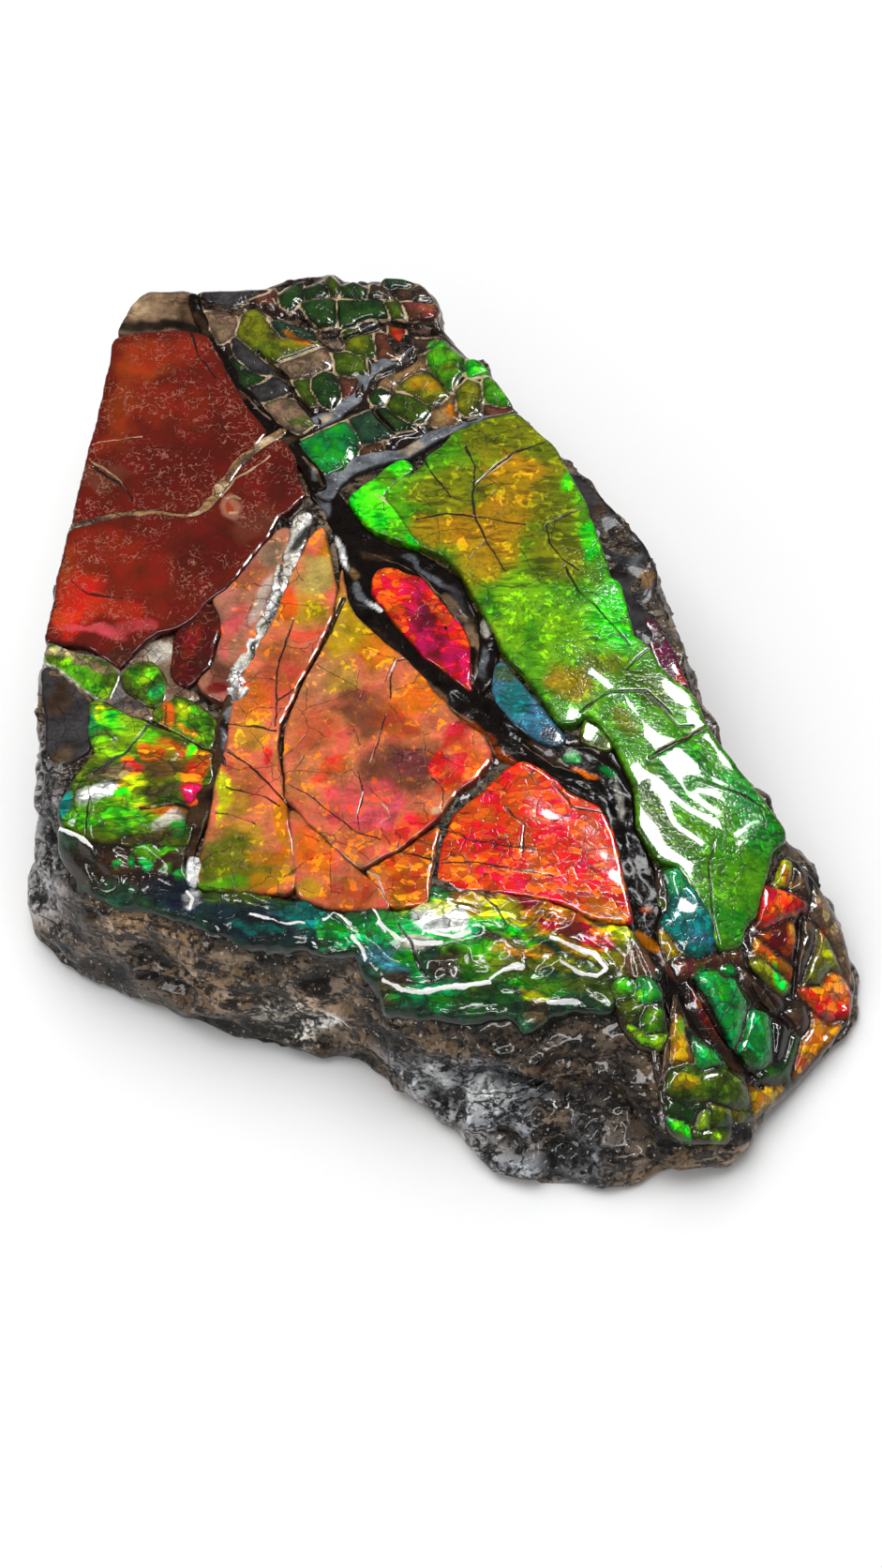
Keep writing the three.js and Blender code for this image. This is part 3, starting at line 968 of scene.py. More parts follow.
@dataclass
class StoneMatrix:
    """The mudstone body under and around the shell.

    Attributes:
        stains: Patches of colour.
        name: The piece's name.
        voxel: Size of its mesh, mm.
        ground_drop: How far bare ground lies under the common plate level, mm.
        crackle_drop: The same where small tiles stand close together at the back, mm.
        knobs: Height and size of its broken lumps in mm, how tall they are for their width, and whether
            they are creased.
    """

    stains: tuple[Stain, ...]
    name: str = "mudstone_matrix"
    voxel: float = 0.72
    ground_drop: float = 1.5
    crackle_drop: float = 0.45
    knobs: tuple[tuple[float, float, float, bool], ...] = (
        (1.1, 9.0, 1.3, False), (1.3, 9.0, 0.35, True), (0.6, 2.4, 1.0, False),
    )

    def _crackle(self, x: Array, y: Array) -> Array:
        """Where small tiles stand close together, from 0 to 1, at places in mm."""
        return smooth_step(12.0, 4.0, distance_to_line(x, y, CRACKLE_RUN))

    def _ground(self, x: Array, y: Array) -> Array:
        """Height of the bare ground.

        Args:
            x: Places along X, mm.
            y: Places along Y, mm.

        Returns:
            Heights above the table, mm.
        """
        drop = blend(self.ground_drop, self.crackle_drop, self._crackle(x, y))
        return SURFACE.level(x, y) - (drop + 0.25 * NOISE.fractal(x, y, Layer.GROUND, 2.4))

    def _body(self) -> Piece:
        """A finely meshed copy of the node, cut down to bare ground."""
        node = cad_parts[NODE]
        piece = bpy.data.objects.new(self.name, node.data.copy())
        piece.data.name = self.name
        bpy.context.collection.objects.link(piece)
        select_only(piece)
        bpy.ops.object.mode_set(mode="EDIT")
        bpy.ops.mesh.select_all(action="SELECT")
        bpy.ops.mesh.remove_doubles(threshold=0.001 * MM)
        bpy.ops.object.mode_set(mode="OBJECT")
        remesh(piece, self.voxel, soften=False)
        places = rows_of(piece.data.vertices, "co") / MM
        places[:, 2] = np.minimum(places[:, 2], self._ground(places[:, 0], places[:, 1]))
        place(piece, places)
        remesh(piece, self.voxel)
        return piece

    def build(self, material: Material) -> None:
        """Models and dresses the stone.

        Args:
            material: Its finish.
        """
        piece = self._body()
        places = rows_of(piece.data.vertices, "co") / MM
        normals = rows_of(piece.data.vertices, "normal")
        x, y, z = places.T
        level = SURFACE.level(x, y)
        bare = np.maximum(smooth_step(0.95, 0.6, normals[:, 2]), smooth_step(2.0, 4.0, level - z))
        bare = bare * smooth_step(0.0, 1.6, z)
        lump = np.zeros(len(x))
        for octave, (height, size, tall, creased) in enumerate(self.knobs):
            rough = NOISE.at(x / size + 3.0 * octave, y / size, z / (size * tall))
            lump += height * (0.7 - 2.0 * np.abs(rough) if creased else rough)
        places += normals * (bare * lump)[:, None]
        places[:, 2] = np.maximum(places[:, 2], 0.0)
        place(piece, places)
        colour = np.tile(GROUND_BRIGHTNESS * Hue.MUD.linear, (len(x), 1))
        wander = STAIN_WANDER * NOISE.fractal(x, y, z, 7.0, 4)
        for stain in self.stains:
            away = (places + wander[:, None] - np.array(stain.centre)) / np.array(stain.reach)
            cover = stain.strength * smooth_step(1.2, 0.6, np.linalg.norm(away, axis=1))
            colour = blend(colour, stain.hue.linear, cover[:, None])
        # Painted shade and light: the stone is darkened in the hollows between its lumps and lightened on
        # the lumps' tops.
        painted_hollow_shade = (bare * smooth_step(0.1, -0.9, lump))[:, None]
        colour = colour * (1.0 + 0.4 * smooth_step(0.5, 1.2, lump)[:, None] - 0.8 * painted_hollow_shade)
        open_crack = smooth_step(2.2, 0.8, level - z)[:, None]
        floor = blend(Hue.PITCH.linear, Hue.UMBER.linear, self._crackle(x, y)[:, None])
        store(piece, "tint", blend(colour, floor, open_crack))
        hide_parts(NODE)
        hand_in(piece, material)


# ---- Materials ----

OCTAVE_STRENGTH = 0.55  # how strong the noise's finer octaves are
VARNISH_ROUGHNESS = 0.03
NO_HUE_SHIFT = 0.5
LINE_COVER = 0.92  # how far cracks and veins cover the tint


class Value:
    """A node's number output that Python expressions can use."""

    def __init__(self, graph: Graph, socket: Socket) -> None:
        """Wraps a socket.

        Args:
            graph: The node tree that the socket is in.
            socket: The output.
        """
        self.graph = graph
        self.socket = socket

    def _with(self, operation: str, other: Value | float, swapped: bool = False) -> Value:
        """One Math node on this value and another.

        Args:
            operation: The Math node's operation.
            other: A value or a number.
            swapped: Whether the other comes first.

        Returns:
            The result.
        """
        first, second = (other, self) if swapped else (self, other)
        return self.graph.number("ShaderNodeMath", {"operation": operation}, {0: first, 1: second})

    def __add__(self, other: Value | float) -> Value:
        """Sum."""
        return self._with("ADD", other)

    __radd__ = __add__

    def __sub__(self, other: Value | float) -> Value:
        """Difference."""
        return self._with("SUBTRACT", other)

    def __rsub__(self, other: Value | float) -> Value:
        """Difference from a number."""
        return self._with("SUBTRACT", other, swapped=True)

    def __mul__(self, other: Value | float) -> Value:
        """Product."""
        return self._with("MULTIPLY", other)

    __rmul__ = __mul__

    def __abs__(self) -> Value:
        """Size without its sign."""
        return self._with("ABSOLUTE", 0.0)

    def ramp(self, low: float, high: float) -> Value:
        """Smooth ramp from 0 at low to 1 at high.

        Args:
            low: Where it begins.
            high: Where it ends, which may be below low.

        Returns:
            A value from 0 to 1.
        """
        settings = {"interpolation_type": "SMOOTHSTEP", "clamp": True}
        if low < high:
            return self.graph.number("ShaderNodeMapRange", settings, {0: self, 1: low, 2: high})
        flipped = {0: self, 1: high, 2: low, 3: 1.0, 4: 0.0}
        return self.graph.number("ShaderNodeMapRange", settings, flipped)


class Graph:
    """A material's node tree, with its Principled shader and coordinates in millimetres."""

    def __init__(self, name: str) -> None:
        """Starts a material.

        Args:
            name: The material's name.
        """
        self.material = bpy.data.materials.new(name)
        self.material.use_nodes = True
        self.tree = self.material.node_tree
        self.shader = self.tree.nodes["Principled BSDF"]
        places = self.node("ShaderNodeTexCoord", {}, {}).outputs["Object"]
        scale = {"operation": "SCALE"}
        self.place = self.node("ShaderNodeVectorMath", scale, {0: places, 3: 1.0 / MM}).outputs[0]
        # What all markings share: bent coordinates, a fine grain and broad patches.
        self.bent = self.warped(2.5, 1.4)
        self.grain = self.noise_value(0.45, 3.0)
        self.patch = self.noise_value(7.0, 2.0)

    def node(self, kind: str, settings: dict[str, object], inputs: dict[int | str, object]) -> Node:
        """Adds a node.

        Args:
            kind: Blender's name for the node.
            settings: Its properties, set first.
            inputs: Values, sockets or plain numbers for its inputs.

        Returns:
            The node.
        """
        made = self.tree.nodes.new(kind)
        for name, setting in settings.items():
            setattr(made, name, setting)
        for key, given in inputs.items():
            self.feed(made.inputs[key], given)
        return made

    def feed(self, socket: Socket, given: object) -> None:
        """Links an input or sets its value.

        Args:
            socket: The input.
            given: A value, a socket, a number or a tuple.
        """
        if isinstance(given, Value):
            self.tree.links.new(given.socket, socket)
        elif isinstance(given, Socket):
            self.tree.links.new(given, socket)
        else:
            socket.default_value = given

    def number(self, kind: str, settings: dict[str, object], inputs: dict[int | str, object]) -> Value:
        """Adds a node and gives its first output as a value.

        Args:
            kind: Blender's name for the node.
            settings: Its properties.
            inputs: What its inputs get.

        Returns:
            The first output.
        """
        return Value(self, self.node(kind, settings, inputs).outputs[0])

    def mix(self, share: Value | float, under: object, over: object) -> Socket:
        """Mixes two colours.

        Args:
            share: How far the second covers the first.
            under: The first colour.
            over: The second colour.

        Returns:
            The mixed colour's socket.
        """
        settings = {"data_type": "RGBA", "clamp_factor": True}
        return self.node("ShaderNodeMix", settings, {0: share, 6: under, 7: over}).outputs[2]

    def shaded(
        self, colour: object, value: object, saturation: float = 1.0, hue: object = NO_HUE_SHIFT
    ) -> Socket:
        """A brighter, darker or shifted shade of a colour.

        Args:
            colour: The colour's socket.
            value: Factor on its brightness.
            saturation: Factor on its saturation.
            hue: Its hue's shift, with NO_HUE_SHIFT for none.

        Returns:
            The new colour's socket.
        """
        inputs = {"Hue": hue, "Saturation": saturation, "Value": value, "Color": colour}
        return self.node("ShaderNodeHueSaturation", {}, inputs).outputs[0]

    def attribute(self, name: str) -> Node:
        """Reads one of the mesh's own attributes.

        Args:
            name: The attribute's name.

        Returns:
            The Attribute node.
        """
        return self.node("ShaderNodeAttribute", {"attribute_name": name}, {})

    def noise(self, size: float, detail: float = 2.0, place: object = None) -> Node:
        """Noise with lumps of about one size.

        Args:
            size: The lumps' size, mm.
            detail: How many finer octaves.
            place: The coordinates, the plain ones if None.

        Returns:
            The Noise Texture node.
        """
        inputs = {"Vector": place or self.place, "Scale": 1.0 / size, "Detail": detail}
        return self.node("ShaderNodeTexNoise", {}, inputs | {"Roughness": OCTAVE_STRENGTH})

    def noise_value(self, size: float, detail: float = 2.0, place: object = None) -> Value:
        """Noise as a value from 0 to 1, mostly near one half."""
        return Value(self, self.noise(size, detail, place).outputs["Fac"])

    def warped(self, size: float, amount: float) -> Socket:
        """Coordinates pushed about by noise.

        Args:
            size: The noise's size, mm.
            amount: How far it pushes, mm.

        Returns:
            The new coordinates' socket.
        """
        inputs = {0: self.noise(size).outputs["Color"], 1: (0.5, 0.5, 0.5)}
        centred = self.node("ShaderNodeVectorMath", {"operation": "SUBTRACT"}, inputs)
        inputs = {0: centred.outputs[0], 1: (amount,) * 3, 2: self.place}
        return self.node("ShaderNodeVectorMath", {"operation": "MULTIPLY_ADD"}, inputs).outputs[0]

    def stretched(self, place: object, turn: float, scale: Point) -> Socket:
        """Coordinates turned about Z and then scaled.

        Args:
            place: The coordinates.
            turn: Degrees.
            scale: Factors along the turned X and Y.

        Returns:
            The new coordinates' socket.
        """
        inputs = {0: place, 2: (0.0, 0.0, math.radians(turn)), 3: (scale[0], scale[1], 1.0)}
        return self.node("ShaderNodeMapping", {"vector_type": "POINT"}, inputs).outputs[0]

    def cells(self, size: float, place: object, feature: str = "F1") -> Node:
        """Voronoi cells.

        Args:
            size: Their size, mm.
            place: The coordinates.
            feature: What the node measures.

        Returns:
            The Voronoi Texture node.
        """
        inputs = {"Vector": place, "Scale": 1.0 / size}
        return self.node("ShaderNodeTexVoronoi", {"feature": feature}, inputs)

    def finish(
        self, colour: object, roughness: object, height: Value, bump: float, coat: float
    ) -> Material:
        """Connects the shader.

        Args:
            colour: The base colour.
            roughness: A value or a number.
            height: Relief for the bump, in mm.
            bump: The bump's strength.
            coat: How strong the varnish is.

        Returns:
            The material.
        """
        inputs = {"Height": height, "Strength": bump, "Distance": MM}
        normal = self.node("ShaderNodeBump", {}, inputs).outputs["Normal"]
        self.feed(self.shader.inputs["Base Color"], colour)
        self.feed(self.shader.inputs["Roughness"], roughness)
        self.feed(self.shader.inputs["Normal"], normal)
        self.shader.inputs["Coat Weight"].default_value = coat
        self.shader.inputs["Coat Roughness"].default_value = VARNISH_ROUGHNESS
        self.shader.inputs["Specular IOR Level"].default_value = 0.5 * coat + 0.02
        return self.material


@dataclass(frozen=True)
class ShellFinish:
    """How one kind of nacre is marked. Sizes are mm, and a strength of 0 leaves a marking out.

    The two numbers that ramp() gets are the levels of a noise where a marking begins and where it is full.

    Attributes:
        marks: The kind of marking.
        facet_size: Size of the small flat flakes that each catch the light in their own colour.
        facet_hue: How far their hue strays.
        facet_value: How far their brightness strays.
        facet_stretch: How their coordinates are scaled along and across facet_turn.
        facet_turn: Degrees that the flakes are turned.
        facet_line: Strength of the dark lines around them.
        mottle_size: Size of the cloudy mottling.
        mottle_value: Its strength.
        mottle_hue: How far it shifts the hue.
        glow: Share of the surface in a brighter shade of its colour: flecks that are partly the nacre's
            own colour play and partly painted glints.
        worm: Strength of the pale curly worm marks.
        worm_size: Their size.
        ripple: Strength of the fine wrinkles.
        ripple_pitch: Their pitch.
        ripple_turn: Degrees that they are turned from lying along X.
        pebble: Strength of the fine leathery grain.
        net: Strength of the net of hairline cracks.
        net_size: Size of its meshes.
        joint: Colours in the veins and joints, from dark to pale: mineral, and for the folds chalk white
            painted highlight.
        roughness: Mean roughness under the varnish.
        bump: Strength of the fine relief.
        coat: Strength of the varnish.
    """

    marks: Marks
    facet_size: float = 1.6
    facet_hue: float = 0.0
    facet_value: float = 0.0
    facet_stretch: Point = (1.0, 1.0)
    facet_turn: float = 0.0
    facet_line: float = 0.0
    mottle_size: float = 5.0
    mottle_value: float = 0.5
    mottle_hue: float = 0.01
    glow: float = 0.0
    worm: float = 0.0
    worm_size: float = 1.4
    ripple: float = 0.0
    ripple_pitch: float = 0.7
    ripple_turn: float = -12.0
    pebble: float = 0.0
    net: float = 0.6
    net_size: float = 6.0
    joint: tuple[Hue, Hue] = (Hue.TAN, Hue.CREAM)
    roughness: float = 0.1
    bump: float = 0.5
    coat: float = 0.4

    def _facets(self, graph: Graph, mottle: Value) -> tuple[object, Value]:
        """Flakes and mottling on the tint, with bright flecks that are partly painted glints.

        Args:
            graph: The material's graph.
            mottle: The cloudy mottling, from 0 to 1.

        Returns:
            The colour and the relief.
        """
        laid = graph.stretched(graph.bent, self.facet_turn, self.facet_stretch)
        cells = graph.cells(self.facet_size, laid).outputs["Color"]
        flakes = graph.node("ShaderNodeSeparateColor", {}, {0: cells})
        shade, shift = Value(graph, flakes.outputs[0]), Value(graph, flakes.outputs[1])
        # The brightness strays about 1, and the ramp keeps it between 0.05 and 1.95.
        cloud = self.mottle_value * (4.0 * mottle - 2.0) + 0.7 * (graph.grain - 0.5)
        value = (1.0 + self.facet_value * (2.0 * shade - 1.0) + cloud).ramp(-0.75, 2.75) * 1.9 + 0.05
        hue = NO_HUE_SHIFT + self.facet_hue * (2.0 * shift - 1.0) + self.mottle_hue * (2.0 - 4.0 * mottle)
        colour = graph.shaded(graph.attribute("tint").outputs["Color"], value, saturation=1.06, hue=hue)
        height = 0.03 * mottle + 0.06 * self.facet_value * shade
        if self.facet_line:
            net = Value(graph, graph.cells(self.facet_size, laid, "DISTANCE_TO_EDGE").outputs[0])
            line = self.facet_line * net.ramp(0.09, 0.0)
            colour = graph.mix(line, colour, graph.shaded(colour, value=0.25))
            height = height - 0.06 * line
        # Painted glints: bright flecks in a lighter, richer shade, partly the nacre's own flashes of
        # colour.
        if self.glow:
            glint = shift * 0.5 + graph.noise_value(1.1, 1.0, laid)
            painted_glint = 0.85 * glint.ramp(0.98 - self.glow, 1.06 - self.glow)
            colour = graph.mix(painted_glint, colour, graph.shaded(colour, value=2.3, saturation=1.1))
        return colour, height

    def _wrinkles(self, graph: Graph, colour: object, height: Value) -> tuple[object, Value]:
        """Fine wrinkles and leathery grain, with painted shade in their hollows and painted highlight on
        their tops.

        Args:
            graph: The material's graph.
            colour: The colour so far.
            height: The relief so far.

        Returns:
            The new colour and relief.
        """
        patch = graph.patch.ramp(0.36, 0.6)
        if self.ripple:
            laid = graph.stretched(graph.bent, self.ripple_turn, (0.22, 1.0))
            wave = graph.noise_value(self.ripple_pitch, 1.5, laid)
            shaded_groove, crest = patch * wave.ramp(0.5, 0.4), patch * wave.ramp(0.54, 0.66)
            # The nacre's own wrinkle pattern, with painted shade in the grooves and painted highlight on
            # the crests.
            colour = graph.mix(self.ripple * shaded_groove, colour, graph.shaded(colour, value=0.35))
            colour = graph.mix(0.6 * self.ripple * crest, colour, graph.shaded(colour, value=1.7))
            height = height + 0.07 * self.ripple * (crest - shaded_groove)
        if self.pebble:
            cell = Value(graph, graph.cells(0.55, graph.bent).outputs["Distance"])
            rim = (1.0 - patch) * cell.ramp(0.4, 0.8)
            # The grain's pattern, with painted shade in its sunken rims and painted highlight on its bead
            # tops.
            colour = graph.mix(self.pebble * rim, colour, graph.shaded(colour, value=0.4))
            bead_highlight = 0.5 * self.pebble * (1.0 - patch) * cell.ramp(0.3, 0.05)
            colour = graph.mix(bead_highlight, colour, graph.shaded(colour, value=1.6))
            height = height - 0.04 * rim
        return colour, height

    def _threads(self, graph: Graph, colour: object, height: Value, mottle: Value) -> tuple[object, Value]:
        """Worm marks, hairline cracks, and the cracks and veins that the mesh carries.

        Args:
            graph: The material's graph.
            colour: The colour so far.
            height: The relief so far.
            mottle: The cloudy mottling, from 0 to 1.

        Returns:
            The new colour and relief.
        """
        if self.worm:
            curl = abs(graph.noise_value(self.worm_size, 1.0, graph.bent) - 0.5).ramp(0.035, 0.015)
            broken = graph.noise_value(1.7, 1.0).ramp(0.44, 0.5) * graph.patch.ramp(0.38, 0.56)
            mark = self.worm * curl * broken
            colour = graph.mix(mark, colour, (*Hue.FAWN.linear, 1.0))
            height = height + 0.08 * mark
        fringe = 0.12 * (graph.grain - 0.5)
        if self.net:
            cell = graph.cells(self.net_size, graph.bent, "DISTANCE_TO_EDGE").outputs[0]
            line = (Value(graph, cell) * self.net_size + fringe).ramp(0.13, 0.03)
            line = self.net * line * graph.noise_value(5.0, 0.0).ramp(0.42, 0.52)
            colour = graph.mix(line, colour, (*Hue.UMBER.linear * 0.4, 1.0))
            height = height - 0.08 * line
        crack = (Value(graph, graph.attribute("crack_mm").outputs["Fac"]) + fringe).ramp(0.1, 0.0)
        vein = (Value(graph, graph.attribute("vein_mm").outputs["Fac"]) + 2.0 * fringe).ramp(0.06, -0.03)
        dark, pale = ((*hue.linear, 1.0) for hue in self.joint)
        # For the folds both colours are chalk white, painted highlights.
        mineral = graph.mix((mottle + 0.4 * (graph.grain - 0.5)).ramp(0.38, 0.62), dark, pale)
        colour = graph.mix(LINE_COVER * vein, colour, mineral)
        colour = graph.mix(LINE_COVER * crack, colour, (*Hue.UMBER.linear * 0.3, 1.0))
        return colour, height + 0.06 * vein - 0.15 * crack

    def material(self) -> Material:
        """Makes the material."""
        graph = Graph(f"shell_{self.marks.value}")
        mottle = graph.noise_value(self.mottle_size, 4.0)
        colour, height = self._facets(graph, mottle)
        colour, height = self._wrinkles(graph, colour, height)
        colour, height = self._threads(graph, colour, height, mottle)
        roughness = self.roughness + 0.15 * (mottle - 0.5)
        return graph.finish(colour, roughness, height, self.bump, self.coat)


@dataclass(frozen=True)
class StoneFinish:
    """Varnished mudstone: tinted by place, speckled and pitted, with painted shade in its creases. Sizes
    are mm.
    """

    name: str = "mudstone"
    speck_size: float = 0.7
    pit_size: float = 3.2
    roughness: float = 0.3
    coat: float = 0.25

    def material(self) -> Material:
        """Makes the material."""
        graph = Graph(self.name)
        tint = graph.attribute("tint").outputs["Color"]
        cloud = graph.noise_value(4.0, 5.0)
        grain = graph.noise_value(0.8, 4.0)
        value = (cloud * 4.0 + grain * 3.4 - 3.2).ramp(0.0, 1.0) * 1.6 + 0.08
        colour = graph.shaded(tint, value)
        fibres = graph.stretched(graph.bent, 35.0, (0.45, 1.0))
        bloom = (graph.noise_value(2.2, 5.0, fibres) + 0.3 * (grain - 0.5)).ramp(0.53, 0.58)
        colour = graph.mix(0.6 * bloom, colour, graph.shaded(tint, value=3.2, saturation=0.8))
        speck = graph.noise_value(self.speck_size, 1.0).ramp(0.67, 0.71)
        colour = graph.mix(0.55 * speck, colour, (*Hue.BONE.linear, 1.0))
        # Painted shade: the creases, which the bump also sinks, are darkened to near black.
        crease = abs(graph.noise_value(self.pit_size, 3.0, fibres) - 0.5).ramp(0.03, 0.01)
        painted_crease_shade = crease * graph.patch.ramp(0.4, 0.5)
        colour = graph.mix(0.9 * painted_crease_shade, colour, (*Hue.PITCH.linear * 0.5, 1.0))
        height = 0.35 * grain + 0.8 * cloud - 0.5 * painted_crease_shade + 0.2 * bloom
        roughness = self.roughness + 0.6 * (graph.patch - 0.5)
        return graph.finish(colour, roughness, height, 0.9, self.coat)


# ---- The studio ----


@dataclass(frozen=True)
class Lamp:
    """A soft lamp that faces the specimen.

    Attributes:
        name: Its name.
        toward: Direction from the specimen to it.
        distance: How far off it is, m.
        size: Its width and height, m.
        power: Watts.
        roll: Degrees it is turned about its own axis.
        diffuse: Whether it lights matt surfaces; a card without this is only mirrored.
        glossy: Whether polished surfaces mirror it.
    """

    name: str
    toward: tuple[float, float, float]
    distance: float
    size: Point
    power: float
    roll: float = 0.0
    diffuse: bool = True
    glossy: bool = True

    def place(self, target: Vector) -> None:
        """Puts the lamp up.

        Args:
            target: What it faces, m.
        """
        data = bpy.data.lights.new(self.name, "AREA")
        data.shape = "RECTANGLE"
        data.size, data.size_y = self.size
        data.energy = self.power
        lamp = bpy.data.objects.new(self.name, data)
        lamp.location = target + Vector(self.toward).normalized() * self.distance
        aim = (target - lamp.location).to_track_quat("-Z", "Y")
        lamp.rotation_euler = (aim @ Quaternion((0.0, 0.0, 1.0), math.radians(self.roll))).to_euler()
        lamp.visible_diffuse = self.diffuse
        lamp.visible_glossy = self.glossy
        bpy.context.collection.objects.link(lamp)


@dataclass
class Studio:
    """The floor, the lights and the camera.

    Attributes:
        target: What the camera looks at, mm.
        elevation: The camera's height above the horizon, degrees.
        distance: The camera's distance, mm.
        lens: Its focal length over a 36 mm tall sensor, mm.
        glow: Brightness of the surroundings.
        lamps: The lamps.
    """

    target: tuple[float, float, float] = (-0.5, -13.4, 17.0)
    elevation: float = 60.0
    distance: float = 700.0
    lens: float = 100.48
    glow: float = 0.27
    lamps: tuple[Lamp, ...] = (
        Lamp("key_lamp", (-0.18, 0.3, 0.94), 1.5, (1.6, 1.6), 24.5, glossy=False),
        Lamp("fill_lamp", (-0.4, -0.7, 0.59), 1.6, (1.4, 1.4), 5.5, glossy=False),
        Lamp("window_card", (0.26, 0.38, 0.887), 1.0, (0.12, 0.1), 2.0, diffuse=False),
        Lamp("side_card", (0.57, 0.23, 0.79), 1.0, (0.4, 0.15), 9.5, 48.0, diffuse=False),
        Lamp("strip_card", (0.3, -0.3, 0.91), 1.1, (0.9, 0.1), 7.5, diffuse=False),
        Lamp("left_card", (-0.67, -0.4, 0.62), 1.1, (0.25, 0.3), 3.5, diffuse=False),
    )

    def _camera(self) -> None:
        """Sets up the camera."""
        data = bpy.data.cameras.new("studio_camera")
        data.sensor_fit = "VERTICAL"
        data.sensor_height = 36.0
        data.lens = self.lens
        data.clip_start = 0.01
        camera = bpy.data.objects.new("studio_camera", data)
        lift = math.radians(self.elevation)
        target = Vector(self.target) * MM
        toward = Vector((0.0, -math.cos(lift), math.sin(lift)))
        camera.location = target + toward * self.distance * MM
        camera.rotation_euler = (-toward).to_track_quat("-Z", "Y").to_euler()
        bpy.context.collection.objects.link(camera)
        bpy.context.scene.camera = camera

    def _floor(self) -> None:
        """Lays the pale floor."""
        bpy.ops.object.select_all(action="DESELECT")
        bpy.ops.mesh.primitive_plane_add(size=6.0)
        floor = bpy.context.object
        floor.name = "floor"
        graph = Graph("floor_paper")
        fibre = graph.noise_value(0.6, 4.0)
        colour = graph.mix(fibre, (0.93, 0.93, 0.93, 1.0), (0.96, 0.96, 0.96, 1.0))
        floor.data.materials.append(graph.finish(colour, 0.75, 0.2 * fibre, 0.1, 0.0))

    def build(self) -> None:
        """Sets up the whole studio."""
        self._camera()
        self._floor()
        world = bpy.data.worlds.new("studio_world")
        world.use_nodes = True
        world.node_tree.nodes["Background"].inputs["Color"].default_value = (0.98, 0.99, 1.0, 1.0)
        world.node_tree.nodes["Background"].inputs["Strength"].default_value = self.glow
        bpy.context.scene.world = world
        for lamp in self.lamps:
            lamp.place(Vector(self.target) * MM)
        bpy.context.scene.view_settings.view_transform = "Standard"


FINISHES: tuple[ShellFinish, ...] = (
    ShellFinish(
        Marks.WORMS,
        mottle_size=4.0, mottle_value=0.45, mottle_hue=0.006, worm=0.6, worm_size=0.95, net=0.3,
        net_size=7.0,
    ),
    ShellFinish(
        Marks.RIPPLES,
        mottle_size=4.5, mottle_value=0.45, mottle_hue=0.022, ripple=0.8, ripple_pitch=0.75, pebble=0.75,
        net_size=7.5, glow=0.05,
    ),
    ShellFinish(
        Marks.CLOUDS,
        facet_size=2.2, facet_value=0.12, facet_hue=0.012, mottle_size=3.6, mottle_value=0.65,
        mottle_hue=0.014, worm=0.35, worm_size=1.6, ripple=0.25, ripple_pitch=0.6, ripple_turn=60.0,
        net_size=6.5, glow=0.02,
    ),
    ShellFinish(
        Marks.FLAKES,
        facet_size=1.3, facet_value=0.3, facet_hue=0.014, facet_stretch=(0.7, 1.2), facet_turn=20.0,
        facet_line=0.5, mottle_size=3.2, mottle_value=0.55, mottle_hue=0.015, net=0.7, net_size=4.5,
        glow=0.08,
    ),
    ShellFinish(
        Marks.FACETS,
        facet_size=1.7, facet_value=0.4, facet_hue=0.022, facet_line=0.6, mottle_size=2.6,
        mottle_value=0.8, mottle_hue=0.03, joint=(Hue.PITCH, Hue.UMBER), net_size=3.5, glow=0.14,
    ),
    ShellFinish(
        Marks.TILES,
        facet_size=1.4, facet_value=0.3, facet_hue=0.015, facet_line=0.4, mottle_size=2.4,
        mottle_value=1.1, mottle_hue=0.02, joint=(Hue.BARK, Hue.CREAM), net_size=3.2, bump=0.7,
    ),
    # The folds' joint colours are chalk white: the folded band's threads are painted highlights, most
    # along its fold crests.
    ShellFinish(
        Marks.FOLDS,
        facet_size=1.8, facet_value=0.45, facet_hue=0.025, facet_stretch=(0.4, 1.5), facet_turn=8.0,
        facet_line=0.6, mottle_size=2.6, mottle_value=0.9, mottle_hue=0.03, ripple=0.5, ripple_turn=10.0,
        glow=0.13, net_size=3.5, joint=(Hue.CHALK, Hue.CHALK),
    ),
    ShellFinish(
        Marks.STONY,
        roughness=0.15, mottle_size=2.6, mottle_value=0.8, mottle_hue=0.0, ripple=0.3, ripple_turn=45.0,
        pebble=0.5, net=0.5, net_size=3.0, joint=(Hue.BARK, Hue.TAUPE), bump=0.4, coat=0.08,
    ),
    ShellFinish(
        Marks.CALCITE,
        facet_size=0.8, facet_value=0.25, facet_line=0.4, mottle_size=1.8, mottle_value=0.9,
        mottle_hue=0.0, net=0.8, net_size=1.8, bump=0.9, coat=0.6,
    ),
)


# ---- The shell plates ----

